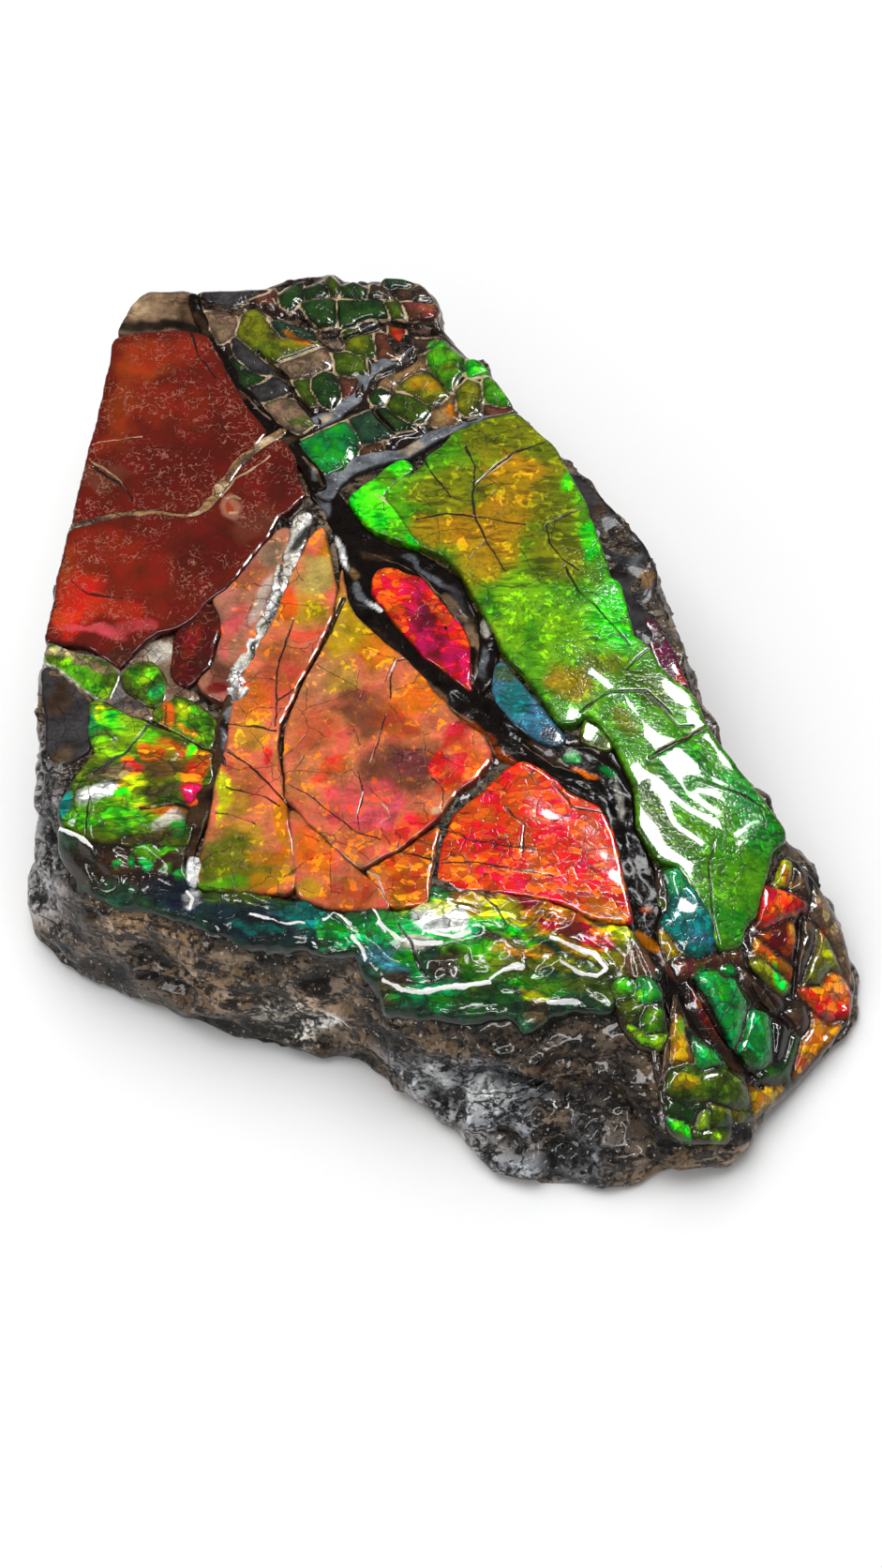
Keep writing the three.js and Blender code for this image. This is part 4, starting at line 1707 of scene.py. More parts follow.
PLATES: tuple[Plate, ...] = (
    Plate("cap_plate", Marks.STONY, Hue.TAUPE, outline=(
        (-54, 64.5), (-52, 69.5), (-50.5, 72), (-49, 73), (-43, 73), (-40.5, 68), (-40, 65), (-44, 64.5),
    ), flushes=(
        (-48, 66, 8, 1.6, Hue.PITCH, 0, 0.9), (-43.5, 65.5, 5, 1.4, Hue.PITCH, 0, 0.9),
        (-50.5, 70, 2.5, 2, Hue.CREAM, 0, 0.4), (-42.5, 70, 2, 3, Hue.UMBER, 0, 0.7),
    ), lift=-0.5, tilt=(0.0, -0.04), relief=0.25),
    Plate("red_upper_plate", Marks.WORMS, Hue.OXBLOOD, outline=(
        (-54.5, 63), (-50.5, 64), (-45, 64.5), (-41, 64), (-39, 63), (-32.5, 49), (-29, 44.5), (-35, 37),
        (-38.5, 30.5), (-41, 28.5), (-47, 29.5), (-52, 29), (-60, 26.5), (-55, 57),
    ), flushes=(
        (-50, 58.5, 5, 4.5, Hue.RUST, 20, 0.9), (-45, 60.5, 7, 3, Hue.BRICK),
        (-53, 48.5, 3, 7, Hue.RUST, -10, 0.6), (-47.5, 50, 4, 5, Hue.BRICK, 0, 0.6),
        (-56, 35.5, 4, 3, Hue.COCOA, 0, 0.7), (-42.5, 37, 9, 6, Hue.GARNET, 10, 0.45),
        (-36, 42.5, 4, 5, Hue.GARNET, 0, 0.5), (-41.5, 48.5, 3, 4, Hue.BRICK, 0, 0.5),
    ), cracks=(
        Crack(((-57, 37.5), (-55, 35.5), (-53, 34.5), (-51.5, 33), (-50.5, 31)), 0.35, 0.2),
        Crack(((-42, 64.5), (-40.5, 59.5), (-37.5, 55)), 0.2, 0.1),
    ), veins=(
        Vein(((-57.5, 38.5), (-53.5, 35.5), (-51.5, 33)), 0.25),
        Vein(((-57.5, 42), (-54, 43), (-49.5, 43.5)), 0.14),
    ), lift=0.1, tilt=(0.0, 0.01)),
    Plate("red_lower_plate", Marks.WORMS, Hue.OXBLOOD, outline=(
        (-60.5, 25), (-52, 27.5), (-47, 28), (-40.5, 27.5), (-38, 28.5), (-36, 31), (-33, 37), (-30.5, 40),
        (-27, 42.5), (-26, 42), (-24.5, 39.5), (-24, 36), (-22.5, 32), (-27, 27.5), (-28.5, 24),
        (-35, 14.5), (-38, 12), (-40, 9), (-42.5, 7), (-46, 6), (-49, 3), (-51.5, -0.5), (-55.5, 3),
        (-58.5, 4), (-63.5, 4.5), (-62.5, 9),
    ), flushes=(
        (-58.5, 12, 4, 7, Hue.BLAZE, -15, 0.6), (-53, 10, 6, 3, Hue.BLAZE, 0, 0.5),
        (-61, 19, 2.5, 5, Hue.RUST, 0, 0.7), (-55, 21, 6, 5, Hue.BRICK, 0, 0.6),
        (-47, 15.5, 7, 6, Hue.BRICK, 0, 0.4), (-37.5, 21, 7, 4, Hue.GARNET, 30, 0.6),
        (-26.5, 34.5, 3, 5, Hue.GARNET, 0, 0.7), (-31, 26, 4, 3, Hue.COCOA, 30, 0.6),
        # The coral patch at the end of the next line and the two rose patches after it are a painted sheen
        # along the plate's lower left edge.
        (-51, 1.5, 4, 2, Hue.UMBER, 0, 0.7), (-60, 8.5, 3, 1.6, Hue.CORAL, 0, 0.6),
        (-56, 6, 6, 0.8, Hue.ROSE, -12, 0.7), (-48.5, 7, 4, 1.2, Hue.ROSE, 20, 0.4),
        (-34, 29.5, 1.6, 2, Hue.FAWN), (-34, 29.5, 0.6, 0.8, Hue.RUST, 0, 0.9),
    ), cracks=(
        Crack(((-60, 15.5), (-57, 13), (-51.5, 12)), 0.2, 0.1),
    ), veins=(
        Vein(((-35, 31), (-34, 31.5), (-33, 31)), 0.3), Vein(((-34.5, 28.5), (-33.5, 28.5)), 0.5),
        Vein(((-36, 31.5), (-34, 35), (-31, 37), (-28.5, 39.5)), 0.25),
    ), lift=0.25, tilt=(0.0, 0.01), rim=Hue.GARNET, rim_width=0.4),
    Plate("red_lobe_plate", Marks.CLOUDS, Hue.GARNET, outline=(
        (-38, 11.5), (-36, 9.5), (-36, 6), (-37.5, 0), (-40.5, -4), (-42, -3), (-43, -1.5), (-42.5, 6),
        (-40, 8.5),
    ), flushes=(
        (-39.5, 5, 1.6, 4, Hue.BRICK, -10, 0.6),
    ), lift=-0.15, rim=Hue.GARNET),
    Plate("peach_plate", Marks.CLOUDS, Hue.FAWN, outline=(
        (-28.5, 23), (-37, 12), (-35.5, 9), (-35, 5.5), (-37, -1), (-39, -3.5), (-37.5, -5.5), (-34.5, -7),
        (-33.5, -2.5), (-30.5, 3.5), (-27.5, 15.5), (-25.5, 19), (-23.5, 25), (-26, 26),
    ), flushes=(
        (-27.5, 21, 3, 2.5, Hue.TAUPE, 0, 0.9), (-32, 16.5, 3, 3, Hue.SIENNA, 0, 0.5),
        (-33.5, 7.5, 1.5, 5, Hue.ROSE, -15, 0.7), (-35.5, -2, 2.5, 4, Hue.COCOA, 0, 0.9),
        # The bone patch at the end of the next line is a painted sheen beside the silver seam.
        (-36.5, -5, 2.5, 1.5, Hue.OXBLOOD, 0, 0.9), (-29.5, 12, 1, 5, Hue.BONE, -20, 0.6),
        (-31.5, 3, 0.8, 4, Hue.APRICOT, -20, 0.6),
    ), lift=-0.2),
    Plate("green_tip_plate", Marks.FACETS, Hue.MOSS, outline=(
        (-63, 4), (-58.5, 2), (-55.5, 1.5), (-53, 0.5), (-51.5, -1.5), (-53, -6.5), (-54.5, -6),
        (-56.5, -4.5), (-61.5, 0), (-63.5, 0.5),
    ), flushes=(
        (-61.5, 2.5, 3, 1.2, Hue.CREAM, -10, 0.6), (-56.5, 0.5, 5, 1.6, Hue.TAUPE, -15, 0.6),
        (-57, -2, 4, 2, Hue.LEAF, -30, 0.7), (-60.5, 0.5, 1.2, 1, Hue.LIME),
        (-54, -5, 1.6, 1.2, Hue.LIME, 0, 0.9),
    ), lift=-0.5, tilt=(0.0, 0.04), rim=Hue.BONE),
    Plate("green_chip_plate", Marks.FACETS, Hue.MOSS, outline=(
        (-51, -2), (-50, -0.5), (-48, 0.5), (-46.5, 0.5), (-45, -1), (-44, -3.5), (-44, -5.5), (-45, -7.5),
        (-46.5, -7.5), (-48.5, -6), (-50.5, -4),
    ), flushes=(
        (-48, -1.5, 3, 1.6, Hue.LEAF, 10, 0.9), (-45.5, -5.5, 1.4, 2.4, Hue.JADE, 0, 0.7),
        (-47.5, -2.5, 1.6, 1, Hue.LIME, 0, 0.6),
    ), lift=-0.3),
    Plate("stone_wedge_plate", Marks.STONY, Hue.SLATE, outline=(
        (-63.5, 0), (-61.5, -1), (-56, -6), (-56, -15), (-58, -16.5), (-60.5, -17), (-62.5, -15),
        (-62.5, -9.5), (-63.5, -5),
    ), flushes=(
        (-61, -6.5, 2, 3, Hue.BARK), (-60, -15.5, 3, 2, Hue.MUD),
    ), veins=(
        # A paler streak along the wedge's edge: painted highlight.
        Vein(((-62.5, -1), (-60.5, -1.5), (-58, -3.5), (-56, -6)), 0.7),
    ), lift=-1.0, relief=0.3, rim=Hue.PITCH),
    Plate("lime_plate", Marks.FOLDS, Hue.MOSS, outline=(
        (-56, -7), (-54.5, -6.5), (-49, -10), (-46.5, -10.5), (-36.5, -16.5), (-36.5, -20.5), (-39, -26.5),
        (-40, -31.5), (-55, -30), (-60, -25.5), (-60.5, -23.5), (-54.5, -16), (-55.5, -13.5),
    ), flushes=(
        (-55.5, -11, 1.6, 3, Hue.JADE, 0, 0.7), (-54, -9, 1.4, 2, Hue.LEMON),
        (-47.5, -14, 6, 2, Hue.LIME, -25, 0.7), (-41.5, -17.5, 4, 2, Hue.OLIVE, -20),
        (-45, -20.5, 5, 1.4, Hue.OLIVE, 10, 0.7), (-52, -11, 3, 2.4, Hue.NEON, -20),
        (-49, -11.5, 3, 2.4, Hue.LIME, -20), (-46.5, -13, 2, 2, Hue.NEON, 0, 0.7),
        (-53, -15.5, 3, 1.6, Hue.LIME), (-46, -15.5, 3, 1.6, Hue.ORANGE, -25, 0.9),
        (-42, -15, 3.5, 1, Hue.AMBER, -30, 0.9), (-39.5, -16, 1.4, 1.6, Hue.NEON),
        (-38.5, -18, 2, 2, Hue.ORANGE, -20), (-49, -18.5, 2.4, 1.4, Hue.CORAL, 0, 0.9),
        (-44, -18.5, 6, 2, Hue.COCOA, 0, 0.6), (-52, -19.5, 4, 1.4, Hue.TAUPE, 15, 0.7),
        (-49, -21.5, 3.4, 2.2, Hue.LEMON, 20, 0.95), (-51, -22.5, 2, 2, Hue.AMBER),
        # The chalk patch at the start of the next line is a painted highlight.
        (-53.5, -23, 3, 1.8, Hue.CHALK, 10, 0.9), (-50.5, -24, 2.4, 1.4, Hue.NEON),
        (-47.5, -23.5, 2.4, 1.4, Hue.LIME, 20), (-52, -25, 4, 0.8, Hue.LEMON, -5, 0.7),
        (-59, -23, 1.8, 1.8, Hue.TEAL, 0, 0.9), (-43.5, -22.5, 6, 1.6, Hue.BARK, 0, 0.7),
        (-40, -21.5, 1.6, 3, Hue.CORAL), (-39, -23.5, 1.6, 2.6, Hue.CRIMSON, -10, 0.9),
        (-45, -25.5, 5, 1, Hue.AMBER, -8, 0.7), (-54.5, -26, 5, 2, Hue.LEAF, 0, 0.9),
        (-49, -27, 6, 2.4, Hue.LEAF, 0, 0.7), (-43, -27.5, 2.4, 1.2, Hue.BONE, 30, 0.6),
        (-41, -29, 1.2, 1.4, Hue.EMERALD, 0, 0.9), (-47.5, -30, 8, 1, Hue.UMBER),
    ), cracks=(
        Crack(((-54, -6.5), (-50, -9), (-41, -13), (-36, -16)), 0.3, 0.25),
        Crack(((-46.5, -11), (-50, -16), (-55, -19.5)), 0.3, 0.3),
        Crack(((-47.5, -25.5), (-45, -25.5), (-42, -25), (-39, -26)), 0.3, 0.25),
        Crack(((-55.5, -23), (-56, -25), (-56, -29)), 0.2, 0.1),
    ), lift=-0.5, tilt=(0.01, 0.01), relief=0.5, relief_size=4.0),
    Plate("lime_chip_plate", Marks.FACETS, Hue.MOSS, outline=(
        (-44, -5), (-40, -7), (-36, -10.5), (-36.5, -15.5), (-45.5, -10), (-46, -9),
    ), flushes=(
        (-44, -8, 1.4, 3.4, Hue.ORANGE, 10, 0.9), (-42, -9, 1.4, 1.6, Hue.LEMON, 0, 0.7),
        (-39.5, -10, 3, 2, Hue.LEAF, 0, 0.6), (-37.5, -13, 2, 1.2, Hue.LIME, 0, 0.5),
        (-41, -12, 2.4, 0.8, Hue.AMBER, -25, 0.7),
    ), lift=-0.35, relief=0.3),
    Plate("orange_left_plate", Marks.CLOUDS, Hue.APRICOT, outline=(
        (-19.5, 26), (-17.5, 13.5), (-18, 9), (-26, -11), (-26.5, -16), (-23, -37), (-23.5, -39.5),
        (-31, -39), (-38.5, -37.5), (-36, -27.5), (-35.5, -21), (-34, -16), (-33.5, -9.5), (-31.5, -1.5),
        (-27, 8.5), (-23.5, 19), (-21.5, 23.5),
    ), flushes=(
        (-19.5, 21, 2.5, 3, Hue.AMBER), (-20.5, 15.5, 3, 6, Hue.STRAW, -15, 0.95),
        (-21.5, 9, 4, 3.4, Hue.HONEY, -20, 0.9), (-25, 11, 1.5, 3, Hue.ORANGE, -20),
        (-22.5, 5, 2.4, 1.8, Hue.CORAL, 0, 0.6), (-26, -1.5, 4.5, 6, Hue.SIENNA, -15, 0.6),
        (-30.5, -7.5, 3, 4, Hue.ORANGE, 0, 0.5), (-31, -13.5, 3, 3, Hue.HONEY, 0, 0.6),
        (-27.5, -17, 1.2, 2.4, Hue.CRIMSON), (-31.5, -22.5, 4, 6, Hue.SIENNA, 0, 0.4),
        (-34.5, -24.5, 1.4, 5, Hue.LEMON, 8, 0.9), (-32.5, -25.5, 2.5, 4, Hue.HONEY, 0, 0.6),
        (-25, -29.5, 1.2, 7, Hue.AMBER, 0, 0.9), (-31, -30.5, 4, 1.4, Hue.HONEY, 0, 0.7),
        (-35, -35, 5, 5, Hue.MOSS, 0, 0.95), (-30, -36, 6, 4, Hue.OLIVE, 0, 0.9),
        (-28, -34, 3.5, 1.6, Hue.AMBER, -10), (-35.5, -38, 5, 1, Hue.LEAF), (-27.5, -38, 3, 1.6, Hue.GOLD),
    ), cracks=(
        Crack(((-24, 8.5), (-26.5, -1.5), (-26.5, -11.5)), 0.2, 0.12),
        Crack(((-21.5, -1.5), (-23.5, -5), (-26.5, -7)), 0.16, 0.1),
        Crack(((-34, -11), (-30, -11.5), (-26.5, -12.5)), 0.2, 0.15),
        Crack(((-34, -16), (-30.5, -18.5), (-24.5, -25.5)), 0.25, 0.2),
        Crack(((-34, -22.5), (-28.5, -24), (-25.5, -26)), 0.18, 0.12),
        Crack(((-35.5, -27), (-32.5, -27.5), (-29.5, -29)), 0.15, 0.1),
    ), tilt=(0.01, 0.0)),
    Plate("orange_main_plate", Marks.CLOUDS, Hue.APRICOT, outline=(
        (-16.5, 18), (-15.5, 12), (-14, 9), (-9, 3.5), (-6, 1), (2.5, -10.5), (6, -13), (7.5, -16),
        (7, -18.5), (5, -21), (3, -22.5), (-1, -28), (-7, -34), (-13, -37), (-18, -32.5), (-24.5, -25),
        (-25.5, -16), (-25, -11.5), (-23.5, -6.5), (-17.5, 8.5),
    ), flushes=(
        (-15.5, 7.5, 4.5, 7, Hue.HONEY, 0, 0.95), (-11, 3, 4, 4, Hue.AMBER, 30, 0.9),
        (-19, -2.5, 5, 5, Hue.TAN, 0, 0.6), (-16, -3, 3, 3, Hue.HONEY, 0, 0.5),
        (-20.5, -12.5, 4, 5, Hue.SIENNA, 0, 0.5), (-13, -9.5, 3.6, 5, Hue.COCOA, 0, 0.85),
        (-8, -11.5, 4, 4, Hue.SIENNA), (-3.5, -5.5, 5, 4, Hue.ORANGE, 30, 0.7),
        (-6.5, -19.5, 7.5, 4.6, Hue.COCOA, 15, 0.9), (-6, -18.5, 4, 2.6, Hue.PLUM, 0, 0.45),
        (-1, -18.5, 1.8, 2.6, Hue.CRIMSON, -15, 0.95), (1.5, -14, 1.6, 4, Hue.CRIMSON, -30),
        (4, -18.5, 3.4, 4.5, Hue.CORAL, 0, 0.85), (1.5, -22.5, 2.6, 2.2, Hue.BLAZE, 0, 0.7),
        (-18, -19.5, 3.4, 1, Hue.CORAL, 40), (-16.5, -26, 1.4, 4, Hue.CORAL, 10),
        (-13, -26.5, 8, 5, Hue.ROSE, 0, 0.9), (-5, -30, 5.5, 2.2, Hue.CORAL, 32, 0.9),
        (-21, -24.5, 3.5, 4, Hue.SALMON, 0, 0.7), (-13.5, -32, 4, 3, Hue.SIENNA, -30, 0.5),
        # The cream patch on the next line is a painted glint.
        (-1, -26.5, 1.2, 1, Hue.CREAM),
    ), cracks=(
        Crack(((-16, 12), (-20, 2), (-22, -2), (-25.5, -11.5), (-25.5, -16), (-26, -18.5)), 0.6, 0.6),
        Crack(((-9, -9.5), (-11.5, -18.5)), 0.15, 0.06),
        Crack(((-8.5, -6.5), (-8.5, -2.5), (-7.5, 0.5), (-5.5, 1)), 0.15, 0.08),
        Crack(((-24.5, -22), (-20.5, -24.5), (-13.5, -31), (-10, -32)), 0.14, 0.06),
        Crack(((-13.5, -20), (-12.5, -23.5), (-13.5, -28), (-13, -30.5)), 0.12, 0.05),
        Crack(((-2, -21), (0, -23.5), (-0.5, -26.5), (0.5, -27.5)), 0.14, 0.06),
    ), veins=(
        Vein(((-10, -25.5), (-9, -26.5), (-8.5, -28), (-10, -29)), 0.12),
    ), lift=0.2, grow=0.2, relief=0.2, relief_size=10.0),
    Plate("orange_low_plate", Marks.CLOUDS, Hue.SALMON, outline=(
        (-24, -26.5), (-18, -33), (-10, -40.5), (-8.5, -43.5), (-16.5, -42.5), (-22.5, -40.5),
    ), flushes=(
        (-20, -33.5, 3, 4, Hue.ORANGE, 0, 0.6), (-14.5, -40.5, 5, 2.4, Hue.SIENNA),
        (-21, -39.5, 2, 2, Hue.HONEY),
    ), lift=0.1),
    Plate("amber_foot_plate", Marks.FLAKES, Hue.ORANGE, outline=(
        (-12, -37), (-10, -36.5), (-6.5, -34.5), (-1, -29.5), (-2.5, -38.5), (-2.5, -42.5), (-8, -43),
    ), flushes=(
        (-4, -33.5, 4, 4, Hue.RUST, 0, 0.7), (-7, -41, 4, 2, Hue.AMBER),
        (-9.5, -39, 3, 3, Hue.SALMON, 0, 0.7), (-5, -40, 3, 2.4, Hue.SIENNA),
        (-6.5, -36, 1.6, 1.6, Hue.ORANGE, 0, 0.9),
    ), cracks=(
        Crack(((-7, -34), (-3.5, -35), (-0.5, -36)), 0.2, 0.12),
    ), veins=(
        Vein(((-12.5, -37), (-10.5, -38), (-8.5, -43)), 0.45),
    ), lift=-0.05),
    Plate("scarlet_plate", Marks.FLAKES, Hue.SCARLET, outline=(
        (12.5, -17.5), (15.5, -19), (19.5, -22.5), (24, -24.5), (25.5, -26.5), (26.5, -29), (29.5, -43),
        (24, -43), (18.5, -41), (12.5, -40), (-1.5, -39.5), (-1, -35), (1, -27.5), (10.5, -18.5),
    ), flushes=(
        (4.5, -26.5, 4, 3, Hue.ORANGE, 0, 0.7), (12.5, -21.5, 4, 2.5, Hue.ORANGE, 0, 0.5),
        (17, -25, 5, 4, Hue.CORAL, 0, 0.7), (19, -32, 5, 4, Hue.CRIMSON, 0, 0.55),
        (8, -33, 6, 4, Hue.BLAZE, 0, 0.7), (12.5, -31, 3, 3, Hue.CORAL, 0, 0.7),
        (2, -36.5, 3, 2.6, Hue.ORANGE), (24.5, -31, 2, 4, Hue.ORANGE, 0, 0.7),
        (25, -41, 4, 2.4, Hue.AMBER, -20), (18.5, -38.5, 5, 1.8, Hue.CORAL, -15, 0.6),
    ), cracks=(
        Crack(((0, -29.5), (4.5, -31.5), (14.5, -32.5)), 0.18, 0.1),
        Crack(((17, -21), (20, -25), (24.5, -25.5)), 0.16, 0.1),
        Crack(((-0.5, -35.5), (5, -35), (10.5, -36), (17, -36.5)), 0.2, 0.1),
        Crack(((9.5, -25.5), (12.5, -28.5), (12, -33)), 0.14, 0.08),
    ), lift=-0.35, tilt=(0.045, 0.05), grow=0.2, relief=0.1, relief_size=5.0),
    Plate("lens_plate", Marks.FLAKES, Hue.BLAZE, outline=(
        (-10.5, 18), (-8.5, 18.5), (-3.5, 16.5), (2.5, 8), (4, 5), (4.5, -5), (-3.5, 2), (-12, 13.5),
        (-11.5, 16),
    ), flushes=(
        (-3, 9, 3, 7, Hue.PLUM, 32, 0.9), (-0.5, 3, 3.2, 4, Hue.PLUM, 32),
        (-5, 12, 2.4, 3, Hue.CRIMSON, 20), (2, 0.5, 2, 4, Hue.MAGENTA, 20),
        (-3, 4.5, 1.6, 2.5, Hue.MAGENTA, 20, 0.7), (-9.5, 15.5, 3, 3, Hue.SCARLET),
    ), lift=-0.35, grow=0.15, relief=0.2),
    Plate("teal_sliver_plate", Marks.RIPPLES, Hue.AZURE, outline=(
        (8, -1), (9, 1), (18.5, -12), (19, -13.5), (17, -14), (14.5, -13), (11.5, -10.5), (9, -7.5),
        (8, -5.5),
    ), flushes=(
        (9.5, -2, 2, 2, Hue.MOSS), (11, -6.5, 2.4, 3, Hue.TEAL), (17, -12.5, 2, 1.6, Hue.SLATE, 0, 0.7),
    ), lift=-0.6, tilt=(0.02, 0.0)),
    Plate("green_main_plate", Marks.RIPPLES, Hue.LEAF, outline=(
        (-4.5, 36), (-2.5, 39), (0, 41), (1.5, 43.5), (5, 45.5), (9, 47), (12, 47.5), (18, 40.5), (23, 29),
        (25.5, 21), (26.5, 16), (28, 15), (30, 5.5), (32.5, 4), (34, 0.5), (39, -3.5), (43, -11),
        (53.5, -22.5), (54, -24), (51.5, -27), (49, -37), (47, -39), (46.5, -42.5), (43, -44), (42, -39.5),
        (36.5, -32.5), (33.5, -32), (30.5, -27), (30, -20.5), (27, -13), (24.5, -10), (22, -8.5),
        (20.5, -10.5), (18.5, -10.5), (13, -1.5), (10.5, 1), (3.5, 16), (0, 20.5), (-3.5, 22), (-5, 24),
        (-7, 28.5), (-9.5, 31.5), (-7, 35),
    ), crests=(
        Crack(((19, 3.5), (37, -15.5)), 9.0, 0.5),
        Crack(((33.5, -21.5), (36.5, -26), (41, -28.5), (46.5, -29), (51.5, -24)), 5.0, 0.3),
        Crack(((34, -16), (38.5, -21), (44.5, -23)), 3.0, 0.12),
        Crack(((36.5, -11.5), (41.5, -17), (47.5, -19)), 3.0, 0.12),
    ), flushes=(
        (8.5, 43.5, 9, 4, Hue.OLIVE, 10, 0.95), (-1.5, 33.5, 5, 5, Hue.OLIVE, 0, 0.9),
        (19, 22.5, 5, 9, Hue.OLIVE, 20), (15.5, 39, 5, 5, Hue.OLIVE, 20, 0.9),
        (2.5, 31.5, 6, 7, Hue.OLIVE, 0, 0.9), (-0.5, 25.5, 5, 4, Hue.GOLD, 20),
        (11.5, 33.5, 7, 7, Hue.GOLD, 0, 0.9), (7, 22.5, 7, 7, Hue.GOLD, 0, 0.9),
        (4, 17, 4, 5, Hue.HONEY, 30, 0.6), (17.5, 30, 4, 6, Hue.OLIVE), (17, 19, 5, 5, Hue.OLIVE, 0, 0.7),
        (12, 12, 5, 4, Hue.LIME, 0, 0.5), (20.5, 36, 1.5, 3.5, Hue.NEON, -25, 0.9),
        (24, 23.5, 1.5, 6, Hue.NEON, -22, 0.85), (27, 10.5, 4, 7, Hue.NEON, -20, 0.95),
        (29, 5.5, 3, 3, Hue.NEON, 0, 0.95), (10, 5, 3, 4, Hue.LIME, 0, 0.6),
        (19, 5, 5, 5, Hue.LIME, 0, 0.4), (20, -3.5, 4, 4, Hue.GOLD, 20, 0.7), (26, -0.5, 4, 3, Hue.OLIVE),
        (32, -3.5, 5, 3, Hue.MOSS, -20), (28.5, -9.5, 3, 3, Hue.OLIVE),
        (38, -17.5, 5, 5, Hue.EMERALD, 0, 0.6), (47, -19, 4, 5, Hue.JADE, 20, 0.6),
        (32.5, -22, 3, 6, Hue.MOSS, 10), (36, -29, 5, 3, Hue.MOSS, -20, 0.6),
        (50.5, -25.5, 3, 4, Hue.EMERALD, 10, 0.7), (45, -40.5, 3, 3, Hue.EMERALD, 0, 0.5),
    ), cracks=(
        Crack(((3.5, 41), (5, 37), (4.5, 31.5), (5, 27.5), (7, 22.5), (10, 17)), 0.22, 0.1),
        Crack(((16.5, 42), (11.5, 40), (8.5, 37.5), (5, 33.5)), 0.18, 0.08),
        Crack(((22, 29), (16.5, 26), (17, 22.5), (19, 19.5), (21.5, 17.5)), 0.18, 0.08),
        Crack(((19.5, 18), (21, 14), (23.5, 11.5), (29.5, 4)), 0.2, 0.1),
        Crack(((-3.5, 39.5), (-1.5, 35), (1, 31.5)), 0.18, 0.08),
        Crack(((-4.5, 27), (0, 28), (5.5, 27.5), (13, 26)), 0.16, 0.06),
        Crack(((41.5, -9), (32.5, -15.5)), 0.5, 0.3),
        Crack(((32.5, 3.5), (30.5, 1.5), (29, -0.5)), 0.25, 0.15),
        Crack(((42.5, -27.5), (41.5, -31.5), (42, -39.5), (43, -43.5)), 0.2, 0.1),
        Crack(((32, -4.5), (37, -9.5), (39.5, -9)), 0.25, 0.15),
        Crack(((21.5, -8.5), (26, -5), (32, -4), (36, -7.5)), 0.3, 0.2),
        Crack(((40, -18), (47, -19), (50.5, -20)), 0.18, 0.1),
    ), veins=(
        Vein(((11.5, 40), (7.5, 36), (5, 34)), 0.22), Vein(((33.5, -14.5), (37, -12), (41, -9)), 0.35),
    ), lift=0.6, relief_size=8.0, rim=Hue.MOSS, rim_width=0.35),
    Plate("green_lobe_plate", Marks.RIPPLES, Hue.NEON, outline=(
        (-15.5, 31.5), (-11, 35), (-9.5, 37), (-6.5, 38.5), (-5, 37), (-7.5, 35), (-10, 32), (-7.5, 28.5),
        (-4, 22), (-11, 25.5), (-13, 27.5),
    ), flushes=(
        (-9, 35.5, 2.5, 2, Hue.MOSS), (-7.5, 25.5, 2.5, 2, Hue.LEAF),
    ), veins=(
        Vein(((-11, 32), (-8.5, 30), (-6.5, 27.5), (-5, 23.5)), 0.35),
    ), lift=0.4, tilt=(0.03, 0.02), rim=Hue.BARK),
    Plate("green_wedge_plate", Marks.FACETS, Hue.MOSS, outline=(
        (21.5, -13), (22, -10), (23.5, -8.5), (25, -9), (26.5, -12.5), (26, -14.5),
    ), flushes=(
        (24, -11.5, 1.6, 1.6, Hue.LEAF, 0, 0.6),
    ), lift=-0.3),
    Plate("dark_flank_plate", Marks.STONY, Hue.SLATE, outline=(
        (19.5, 39.5), (32, 24), (34, 18.5), (33.5, 14), (36, 11), (34, 9), (32.5, 4.5), (30.5, 5.5),
        (29.5, 11.5), (28, 15), (26.5, 17), (25.5, 21.5), (21.5, 32.5),
    ), flushes=(
        (25, 29, 1.6, 3, Hue.BARK, -20, 0.7), (29.5, 23, 2, 3, Hue.ASH, -20, 0.5),
        (32.5, 18, 1.4, 2.4, Hue.TAN, 0, 0.6), (27.5, 19.5, 1.6, 4, Hue.PITCH, -20, 0.7),
    ), lift=-1.3, relief=0.6, relief_size=5.0, rim=Hue.PITCH),
    Plate("plum_sliver_plate", Marks.FLAKES, Hue.PLUM, outline=(
        (32.5, 10), (35, 8), (39, -3), (34.5, 0.5), (32, 8),
    ), flushes=(
        (34, 6.5, 1.2, 1.6, Hue.UMBER), (37, 0, 1.2, 2.4, Hue.CRIMSON, -20, 0.7),
    ), lift=-0.9),
    Plate("smoky_shard_plate", Marks.STONY, Hue.PITCH, outline=(
        (5.5, 10), (7, 11.5), (9, 4), (7.5, -2.5), (6, -5), (5, -3.5), (6, 6),
    ), flushes=(
        (6.5, 7, 0.8, 2.6, Hue.BONE, 0, 0.7), (6, 0.5, 0.8, 3, Hue.ASH, 0, 0.6),
    ), lift=-0.7, relief=0.4, relief_size=3.0),
    Plate("quartz_patch_plate", Marks.CALCITE, Hue.TAUPE, outline=(
        (-51, 0.5), (-46, 5), (-43, 5.5), (-42.5, 3), (-43.5, -1.5), (-42.5, -3.5), (-38.5, -6),
        (-40.5, -6.5), (-43, -6), (-46.5, -10), (-49.5, -9), (-54, -6), (-52.5, -5.5),
    ), flushes=(
        # The bone patch at the start of the next line is a painted glint.
        (-45, 2.5, 2.4, 2, Hue.BONE, 0, 0.7), (-49.5, -7.5, 4, 1.6, Hue.SLATE),
        (-42.5, -5, 2, 1.6, Hue.COCOA, 0, 0.6), (-51, -5, 2, 2, Hue.ASH, 0, 0.7),
    ), lift=-0.8, relief=0.4, relief_size=3.0),
)

